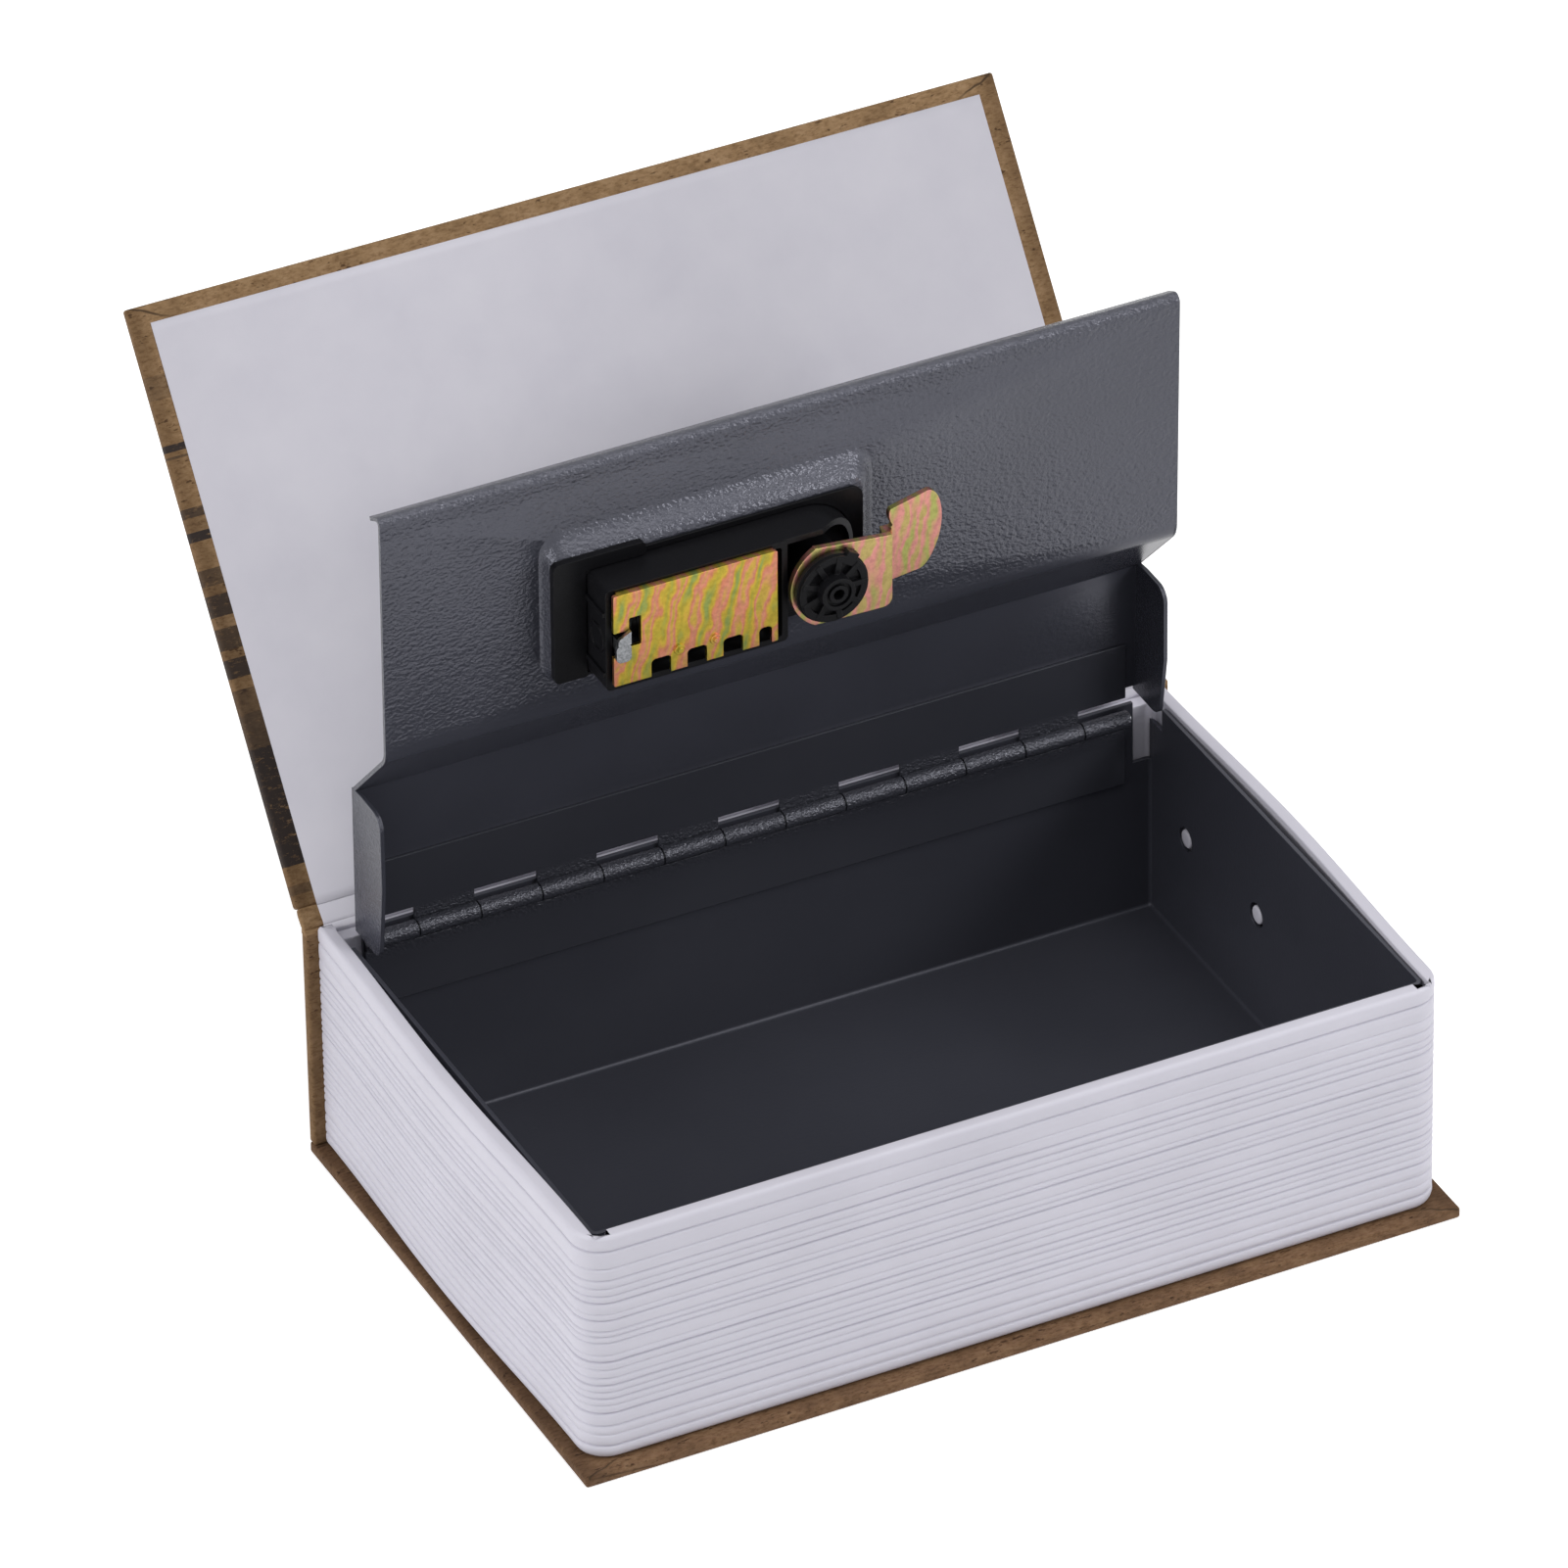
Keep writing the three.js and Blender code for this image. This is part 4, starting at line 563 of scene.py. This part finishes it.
def block_surface():
    """Outside, the wall's offset is the swell of the pages minus a narrow bell-shaped groove at each
    groove height, whose depth and height waver along the outline. A quarter circle leads to the rim,
    another to the plain inner wall, which goes down to the foot. The section is swept round the plan."""
    (points, ways, low, high), run = block_plan()
    heights = BLOCK_TOP - GROOVES[::-1]
    around_groove = np.array([-2.4, -1.5, -0.9, -0.45, 0, 0.45, 0.9, 1.5, 2.4]) * GROOVE_WIDTH
    near = (heights[:, None] + around_groove).ravel()
    between = (heights[1:] + heights[:-1]) / 2
    foot_end = BLOCK_FOOT + FOOT_ROUND
    top_round = BLOCK_TOP - RIM_ROUND
    single = [foot_end + 0.1 * MM, BLOCK_TOP - 2.4 * MM, top_round]
    z = np.sort(np.concatenate([near, between, single]))
    z = z[(z > foot_end) & (z <= top_round)]
    edges = np.concatenate([[BLOCK_FOOT], heights, [BLOCK_TOP]])
    place = np.clip(np.searchsorted(edges, z, side="right"), 1, len(edges) - 1)
    share = (z - edges[place - 1]) / (edges[place] - edges[place - 1])
    swell = LEAF_SWELL * np.sqrt(np.maximum(1 - (2 * share - 1) ** 2, 0))
    order = np.arange(len(heights))
    depth = GROOVE_DEPTH * (0.8 + 0.35 * np.sin(3.7 * order + 2))
    deeper = 1 + 0.25 * np.sin(run / (31 * MM) + 1.7 * order[:, None])
    waver = GROOVE_WAVER * np.sin(run / (26 * MM) + 2.1 * order[:, None])
    bell = np.exp(-((z[:, None, None] - heights[None, :, None] - waver) / GROOVE_WIDTH) ** 2)
    grooved = swell[:, None] - LEAF_BASE - (depth[:, None] * deeper * bell).sum(axis=1)

    foot = np.radians([0, 30, 60])
    rim = np.linspace(0, pi / 2, 7)[1:]
    foot_level = BLOCK_FOOT + FOOT_ROUND * (1 - np.cos(foot))
    level = np.concatenate([foot_level, z, top_round + RIM_ROUND * np.sin(rim)])
    offset = np.concatenate([
        np.repeat(-FOOT_INSET * (1 - np.sin(foot))[:, None], len(run), axis=1), grooved,
        np.repeat(0.02 * MM - RIM_ROUND * (1 - np.cos(rim))[:, None], len(run), axis=1)])
    outside = points + offset[..., None] * ways

    bend = np.linspace(pi / 2, 0, 5)
    notch_foot = BLOCK_TOP - NOTCH_DROP
    inner_level = np.concatenate([BLOCK_TOP - RIM_INNER_ROUND * (1 - np.sin(bend)),
                                  [notch_foot + 0.005 * MM, notch_foot, BLOCK_FOOT]])
    round_off = np.concatenate([RIM_INNER_ROUND * (1 - np.cos(bend)), np.zeros(3)])
    plan = np.where((inner_level > notch_foot)[:, None, None], high, low)
    inside = plan + round_off[:, None, None] * ways

    levels = np.repeat(np.concatenate([level, inner_level])[:, None], len(run), axis=1)
    at_back = points[:, 1] > BLOCK_BACK - 0.01 * MM
    low_wall = at_back & (np.abs(points[:, 0]) < BLOCK_HALF - BLOCK_WALL + 0.001 * MM)
    levels[:, low_wall] = np.minimum(levels[:, low_wall], BACK_WALL_TOP)
    spots = np.concatenate([outside, inside])
    return surface("page_block", np.concatenate([spots, levels[..., None]], axis=2), wrapped=True)


def page_plastic():
    """Injection moulded white polypropylene: satin, with a faint lavender cast, a fine moulding grain and
    shallow level lines, which stand for the single pages."""
    material, tree, place = new_material("page_block_polypropylene")
    cloud = add_node(tree, "ShaderNodeTexNoise", sockets={
        "Vector": place, "Scale": 1 / (22 * MM), "Detail": 3.0})
    grain = add_node(tree, "ShaderNodeTexNoise", sockets={
        "Vector": place, "Scale": 1 / (0.45 * MM), "Detail": 2.0})
    base = add_node(tree, "ShaderNodeValToRGB", sockets={"Fac": cloud.outputs["Fac"]}, stops=[
        (0.3, "#cccad5"), (0.7, "#d2d0db")])
    level = add_node(tree, "ShaderNodeMapping", sockets={"Vector": place, "Scale": (0.004, 0.004, 1)})
    sheets = add_node(tree, "ShaderNodeTexNoise", sockets={
        "Vector": level.outputs["Vector"], "Scale": 1 / (0.9 * MM), "Detail": 1.0, "Roughness": 0.5})
    lines = add_node(tree, "ShaderNodeBump", sockets={
        "Strength": 0.4, "Distance": 0.12 * MM, "Height": sheets.outputs["Fac"]})
    bump = add_node(tree, "ShaderNodeBump", sockets={
        "Strength": 0.3, "Distance": 0.02 * MM, "Height": grain.outputs["Fac"],
        "Normal": lines.outputs["Normal"]})
    finish_material(tree, {"Base Color": base.outputs["Color"], "Roughness": 0.5,
                           "Normal": bump.outputs["Normal"]})
    return material


PAGE_PLASTIC = page_plastic()
new_piece("page_block_moulding", block_surface(), PAGE_PLASTIC, "case", "page_plastic", "page_block")


def peg_surface(side, y):
    """A peg as a shape of revolution: radius and length follow a straight wall and a rounded end."""
    inner = side * (BLOCK_HALF - BLOCK_WALL)
    bend = np.linspace(0, pi / 2, 6)[:-1]
    radius = np.concatenate([[PEG_RADIUS], PEG_RADIUS - PEG_ROUND * (1 - np.cos(bend)), [0.3 * PEG_RADIUS]])
    length = np.concatenate([[-PEG_ROOT], PEG_LENGTH - PEG_ROUND * (1 - np.sin(bend)), [PEG_LENGTH]])
    around = np.linspace(0, 2 * pi, 33)[:-1]
    ring = np.stack([np.cos(around), np.sin(around)], -1) * radius[:, None, None]
    x = np.broadcast_to((inner - side * length)[:, None, None], (*ring.shape[:2], 1))
    return surface("peg", np.concatenate([x, ring + np.array((y, PEG_HEIGHT))], axis=2))


for end, side in (("left", -1), ("right", 1)):
    for number, y in enumerate(PEG_PLACES, start=1):
        new_piece(f"tray_peg_{end}_{number}", peg_surface(side, y), PAGE_PLASTIC, "case", "page_plastic")

# Steel tray, keeper, hinge leaves and inner lid: pressed sheet steel, folded and then powder coated.

SAME_PLACE = 2e-6  # corners of a solid that lie closer than two microns are one
SMOOTH_BELOW = radians(32)
COAT_EDGE = 0.22 * MM  # the coat draws back from sharp edges and rounds them
LID_TOP = 152 * MM
FLANGE_FROM = 80.9 * MM  # from the lid's middle to just inside its flanges' outer faces
FLANGE_PEEL = 0.4


def coated_steel(name, colors, ripple, peel_strength, roughness, shine, zones):
    """Dark blue grey powder coat: a soft gloss over an orange peel, whose ripple's length and height are
    in millimetres. The zones set by height, as shares of the lid's top, where the peel is strong (white)
    or faint (black). On the lid's flanges it is never fainter than FLANGE_PEEL."""
    material, tree, place = new_material(name)
    stretched = add_node(tree, "ShaderNodeMapping", sockets={"Vector": place, "Scale": (0.75, 1, 1)})
    peel = add_node(tree, "ShaderNodeTexNoise", sockets={
        "Vector": stretched.outputs["Vector"], "Scale": 1 / (ripple * MM), "Detail": 2.0, "Roughness": 0.45})
    cloud = add_node(tree, "ShaderNodeTexNoise", sockets={
        "Vector": place, "Scale": 1 / (30 * MM), "Detail": 2.0})
    base = add_node(tree, "ShaderNodeValToRGB", sockets={"Fac": cloud.outputs["Fac"]}, stops=[
        (0.3, colors[0]), (0.7, colors[1])])
    edge = add_node(tree, "ShaderNodeBevel", {"samples": 6}, {"Radius": COAT_EDGE})
    split = add_node(tree, "ShaderNodeSeparateXYZ", sockets={"Vector": place})
    share = add_node(tree, "ShaderNodeMath", {"operation": "DIVIDE"}, {0: split.outputs["Z"], 1: LID_TOP})
    zone = add_node(tree, "ShaderNodeValToRGB", sockets={"Fac": share.outputs[0]}, stops=zones)
    aside = add_node(tree, "ShaderNodeMath", {"operation": "ABSOLUTE"}, {0: split.outputs["X"]})
    flange = add_node(tree, "ShaderNodeMapRange", sockets={
        "Value": aside.outputs[0], "From Min": FLANGE_FROM, "From Max": FLANGE_FROM + 0.2 * MM,
        "To Min": 0.0, "To Max": FLANGE_PEEL})
    amount = add_node(tree, "ShaderNodeMath", {"operation": "MAXIMUM"}, {
        0: zone.outputs["Color"], 1: flange.outputs[0]})
    height = add_node(tree, "ShaderNodeMath", {"operation": "MULTIPLY"}, {
        0: peel.outputs["Fac"], 1: amount.outputs[0]})
    bump = add_node(tree, "ShaderNodeBump", sockets={
        "Strength": 1.0, "Distance": peel_strength * MM, "Height": height.outputs[0],
        "Normal": edge.outputs["Normal"]})
    finish_material(tree, {"Base Color": base.outputs["Color"], "Roughness": roughness,
                           "Specular IOR Level": shine, "Specular Tint": linear("#ecedfb"),
                           "Normal": bump.outputs["Normal"]})
    return material


def merged_copy(node, material, slot):
    """A merged copy of a CAD solid: curved faces are shaded smooth, and edges sharper than SMOOTH_BELOW
    stay crisp. The material rounds those off."""
    mesh = frame["nodes"][node].data.copy()
    shape = bmesh.new()
    shape.from_mesh(mesh)
    bmesh.ops.remove_doubles(shape, verts=shape.verts, dist=SAME_PLACE)
    for face in shape.faces:
        face.smooth = True
    for edge in shape.edges:
        edge.smooth = edge.calc_face_angle(0) < SMOOTH_BELOW
    shape.to_mesh(mesh)
    shape.free()
    new_piece(f"{node}_finished", mesh, material, frame["nodes"][node]["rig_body"], slot, node)


# The lid's zones: the flat part by the hinge, the joggle, the lock's half, and the granular lip.
COATED_LID = coated_steel(
    "powder_coated_lid", ("#3a3b43", "#40414a"), ripple=0.62, peel_strength=0.36, roughness=0.27,
    shine=0.66, zones=[
        (0.5, "#606060"), (0.53, "#000000"), (0.652, "#000000"), (0.67, "#d0d0d0"), (0.965, "#d0d0d0"),
        (0.975, "#ffffff")])
# The tray and keeper wear the lid's coat with slightly darker colours: painted shade.
COATED_TRAY = coated_steel(
    "powder_coated_tray", ("#373840", "#3b3c44"), ripple=0.7, peel_strength=0.02, roughness=0.4,
    shine=0.45, zones=[(0.0, "#ffffff")])
# On the hinge the rolled knuckles are rippled most, the tray's leaf isn't and the lid's leaf hardly is.
COATED_HINGE = coated_steel(
    "powder_coated_hinge", ("#37383f", "#3b3c43"), ripple=0.42, peel_strength=0.3, roughness=0.25,
    shine=0.7, zones=[(0.285, "#000000"), (0.3, "#ffffff"), (0.345, "#ffffff"), (0.355, "#303030")])
merged_copy("lid", COATED_LID, "coated_steel")
for name in ("tray", "keeper"):
    merged_copy(name, COATED_TRAY, "coated_steel")
for name in ("tray_hinge_leaf", "lid_hinge_leaf"):
    merged_copy(name, COATED_HINGE, "coated_steel")

# Lid flanges: the ears folded down at the lid's two ends reach up to the fold in a rounded corner. The
# sizes are measured from the hinge's axis: down from the lid towards the tray, and along the lid.

HINGE_AXIS = np.array((51.15, 49.35)) * MM
LID_OPEN = radians(88.7)
ALONG_LID = np.array((-cos(LID_OPEN), sin(LID_OPEN)))
BELOW_LID = np.array((-sin(LID_OPEN), -cos(LID_OPEN)))
FLANGE_OUTER = 81.41 * MM
FLANGE_INNER = 80.59 * MM
EAR_CORNER = np.array((6.4, 31.1)) * MM
EAR_ROUND = 3.1 * MM
EAR_UPPER = np.array([(-2.5, 27), (-2.5, 33.8), (1.5, 34.2)]) * MM  # where it meets the lid
EAR_LOWER = np.array([(9.65, 19.5), (9, 17.5), (6, 17.5)]) * MM  # where it runs into the flange

corner_turn = np.radians(np.linspace(95, 5, 9))
ear_round = EAR_CORNER + EAR_ROUND * np.stack([np.cos(corner_turn), np.sin(corner_turn)], -1)
ear = np.concatenate([EAR_UPPER, ear_round, EAR_LOWER])
ear_section = HINGE_AXIS + ear[:, :1] * BELOW_LID + ear[:, 1:] * ALONG_LID
for end, side in (("left", -1), ("right", 1)):
    sheet_x = np.array((FLANGE_INNER, FLANGE_OUTER)) * side
    rings = np.concatenate([np.broadcast_to(sheet_x[:, None, None], (2, len(ear), 1)),
                            np.broadcast_to(ear_section, (2, len(ear), 2))], axis=2)
    ear_mesh = surface(f"lid_ear_{end}", rings)
    ear_mesh.shade_flat()
    new_piece(f"lid_ear_{end}", ear_mesh, COATED_LID, "inner_lid", "coated_steel")

# Bright steel: the hinge pin, the lock's axle, sleeves and bar, and the small reset lever.


def bright_steel():
    """Zinc plated steel: grey metal with fine drawing lines."""
    material, tree, place = new_material("zinc_plated_steel")
    lines = add_node(tree, "ShaderNodeTexNoise", sockets={
        "Vector": place, "Scale": 1 / (0.4 * MM), "Detail": 3.0})
    base = add_node(tree, "ShaderNodeValToRGB", sockets={"Fac": lines.outputs["Fac"]}, stops=[
        (0.3, "#76787b"), (0.7, "#a4a6a9")])
    edge = add_node(tree, "ShaderNodeBevel", {"samples": 4}, {"Radius": 0.08 * MM})
    finish_material(tree, {"Base Color": base.outputs["Color"], "Metallic": 1.0, "Roughness": 0.3,
                           "Normal": edge.outputs["Normal"]})
    return material


BRIGHT_STEEL = bright_steel()
DIALS = [f"dial_{number}" for number in range(1, 5)]
for name in ("hinge_pin", "dial_axle", "locking_bar", "reset_lever", *(f"{dial}_sleeve" for dial in DIALS)):
    merged_copy(name, BRIGHT_STEEL, "bare_steel")

# Lock: black moulded housing, clip, knob, number dials and cam retainer.


def lock_plastic():
    """Black moulded nylon: satin, with a faint grain and hardly any shine."""
    material, tree, place = new_material("moulded_nylon_black")
    grain = add_node(tree, "ShaderNodeTexNoise", sockets={
        "Vector": place, "Scale": 1 / (0.3 * MM), "Detail": 2.0})
    base = add_node(tree, "ShaderNodeValToRGB", sockets={"Fac": grain.outputs["Fac"]}, stops=[
        (0.3, "#0e0e10"), (0.7, "#151518")])
    edge = add_node(tree, "ShaderNodeBevel", {"samples": 6}, {"Radius": 0.18 * MM})
    bump = add_node(tree, "ShaderNodeBump", sockets={
        "Strength": 0.3, "Distance": 0.02 * MM, "Height": grain.outputs["Fac"],
        "Normal": edge.outputs["Normal"]})
    finish_material(tree, {"Base Color": base.outputs["Color"], "Roughness": 0.36,
                           "Specular IOR Level": 0.12, "Normal": bump.outputs["Normal"]})
    return material


LOCK_PLASTIC = lock_plastic()
for name in ("lock_housing", "lock_clip", "knob", "cam_retainer", *DIALS):
    merged_copy(name, LOCK_PLASTIC, "lock_plastic")

# Cover plate and cam: stamped steel, zinc plated and yellow chromated.

WAVE_PER_BAND = 0.314  # the wave texture's scale at which one band is one unit wide


def yellow_chromate(name, lean, stops):
    """Yellow chromated zinc: a thin film that goes from gold to pink and green in slanting streaks, which
    lean by some degrees from upright."""
    material, tree, place = new_material(name)
    turned = add_node(tree, "ShaderNodeMapping", sockets={
        "Vector": place, "Rotation": (0, radians(lean), 0), "Scale": (1, 1, 0.45)})
    streaks = add_node(tree, "ShaderNodeTexWave", {"bands_direction": "X"}, {
        "Vector": turned.outputs["Vector"], "Scale": WAVE_PER_BAND / (4.2 * MM), "Distortion": 4.0,
        "Detail": 2.5, "Detail Scale": 3.0, "Detail Roughness": 0.6})
    film = add_node(tree, "ShaderNodeTexNoise", sockets={
        "Vector": turned.outputs["Vector"], "Scale": 1 / (3.8 * MM), "Detail": 2.0, "Roughness": 0.5,
        "Distortion": 0.3})
    mottle = add_node(tree, "ShaderNodeTexNoise", sockets={
        "Vector": place, "Scale": 1 / (0.9 * MM), "Detail": 3.0, "Roughness": 0.6})
    both = add_node(tree, "ShaderNodeMix", {"data_type": "FLOAT"}, {
        "Factor": 0.5, 2: streaks.outputs["Fac"], 3: film.outputs["Fac"]})
    film_color = add_node(tree, "ShaderNodeValToRGB", sockets={"Fac": both.outputs[0]}, stops=stops)
    shade = add_node(tree, "ShaderNodeValToRGB", sockets={"Fac": mottle.outputs["Fac"]}, stops=[
        (0.35, "#c4c4c4"), (0.6, "#ffffff")])
    color = add_node(tree, "ShaderNodeMix", {"data_type": "RGBA", "blend_type": "MULTIPLY"}, {
        "Factor": 0.45, 6: film_color.outputs["Color"], 7: shade.outputs["Color"]})
    edge = add_node(tree, "ShaderNodeBevel", {"samples": 6}, {"Radius": 0.14 * MM})
    bump = add_node(tree, "ShaderNodeBump", sockets={
        "Strength": 0.25, "Distance": 0.03 * MM, "Height": mottle.outputs["Fac"],
        "Normal": edge.outputs["Normal"]})
    finish_material(tree, {"Base Color": color.outputs[2], "Metallic": 1.0, "Roughness": 0.34,
                           "Normal": bump.outputs["Normal"]})
    return material


PLATE_CHROMATE = yellow_chromate("yellow_chromated_cover_plate", lean=-28, stops=[
    (0.2, "#8d9a55"), (0.3, "#b3a140"), (0.42, "#c6a844"), (0.5, "#c79550"), (0.58, "#cc8266"),
    (0.68, "#cf8a72"), (0.76, "#c6a04e"), (0.86, "#a8a248")])
merged_copy("lock_cover_plate", PLATE_CHROMATE, "yellow_chromate")
CAM_CHROMATE = yellow_chromate("yellow_chromated_cam", lean=-20, stops=[
    (0.24, "#a8a862"), (0.34, "#c29c74"), (0.48, "#cf8d84"), (0.62, "#d49088"), (0.74, "#b8a468")])
merged_copy("cam", CAM_CHROMATE, "yellow_chromate")

# Studio: a white floor that runs out of the picture, a white surround and three large soft lamps.
# Lengths are in metres.

FLOOR_SIZE = 12
WHITE = (1, 1, 1, 1)
LAMP_TARGET = (0, 0, 0.05)


def seen_directly(tree):
    """One where the camera sees a surface itself, in a reflection or through something clear, else nought."""
    path = add_node(tree, "ShaderNodeLightPath")
    seen = add_node(tree, "ShaderNodeMath", {"operation": "MAXIMUM"}, {
        0: path.outputs["Is Camera Ray"], 1: path.outputs["Is Glossy Ray"]})
    return add_node(tree, "ShaderNodeMath", {"operation": "MAXIMUM"}, {
        0: seen.outputs[0], 1: path.outputs["Is Transmission Ray"]}).outputs[0]


def studio_floor():
    """White floor: pure white to the camera and in reflections, and darker in the object's shadow."""
    material, tree, _ = new_material("studio_floor_white")
    diffuse = add_node(tree, "ShaderNodeBsdfDiffuse", sockets={"Color": linear("#f4f4f4")})
    glow = add_node(tree, "ShaderNodeEmission", sockets={"Color": WHITE, "Strength": 0.62})
    both = add_node(tree, "ShaderNodeAddShader", sockets={0: diffuse.outputs[0], 1: glow.outputs[0]})
    mix = add_node(tree, "ShaderNodeMixShader", sockets={
        0: seen_directly(tree), 1: diffuse.outputs[0], 2: both.outputs[0]})
    add_node(tree, "ShaderNodeOutputMaterial", sockets={"Surface": mix.outputs[0]})
    return material


floor_mesh = bpy.data.meshes.new("studio_floor")
half = FLOOR_SIZE / 2
floor_mesh.from_pydata([(-half, -half, 0), (half, -half, 0), (half, half, 0), (-half, half, 0)], [],
                       [(0, 1, 2, 3)])
floor = bpy.data.objects.new("studio_floor", floor_mesh)
bpy.context.scene.collection.objects.link(floor)
floor_mesh.materials.append(studio_floor())

world = bpy.data.worlds.new("studio")
bpy.context.scene.world = world
world.use_nodes = True
world.node_tree.nodes.clear()
soft = add_node(world.node_tree, "ShaderNodeBackground", sockets={"Color": WHITE, "Strength": 0.36})
bright = add_node(world.node_tree, "ShaderNodeBackground", sockets={"Color": WHITE, "Strength": 1.0})
chosen = add_node(world.node_tree, "ShaderNodeMixShader", sockets={
    0: seen_directly(world.node_tree), 1: soft.outputs[0], 2: bright.outputs[0]})
add_node(world.node_tree, "ShaderNodeOutputWorld", sockets={"Surface": chosen.outputs[0]})


def soft_lamp(name, place, size, power):
    """A square area lamp at a place, aimed at the object."""
    data = bpy.data.lights.new(name, "AREA")
    data.shape = "SQUARE"
    data.size = size
    data.energy = power
    lamp = bpy.data.objects.new(name, data)
    bpy.context.scene.collection.objects.link(lamp)
    lamp.location = place
    lamp.rotation_euler = (Vector(LAMP_TARGET) - Vector(place)).to_track_quat("-Z", "Y").to_euler()


soft_lamp("lamp_left", (-1.9, 0, 0.9), size=0.9, power=18.5)
soft_lamp("lamp_right", (0.8, -0.8, 0.72), size=0.4, power=5.6)
soft_lamp("lamp_above", (0.25, -0.3, 1.6), size=1.0, power=7.5)

# Camera: a long lens from the front left and above, worked out from the straight edges of the book.

IMAGE = 1601
FOCAL_PIXELS = 14911.94
SENSOR = 36  # width in millimetres
EYE = Vector((-979.25, -1973.55, 1590.6)) * MM
ACROSS = Vector((0.89466, -0.44651, -0.01479))
UP = Vector((0.26231, 0.4982, 0.82643))
BACK = Vector((-0.36164, -0.74325, 0.56284))

camera_data = bpy.data.cameras.new("camera")
camera_data.sensor_width = SENSOR
camera_data.lens = FOCAL_PIXELS * SENSOR / IMAGE
camera_data.clip_end = 50
camera = bpy.data.objects.new("camera", camera_data)
bpy.context.scene.collection.objects.link(camera)
turn = Matrix((ACROSS, UP, BACK)).transposed().to_4x4()
camera.matrix_world = Matrix.Translation(EYE) @ turn
bpy.context.scene.camera = camera
bpy.context.scene.view_settings.view_transform = "Standard"
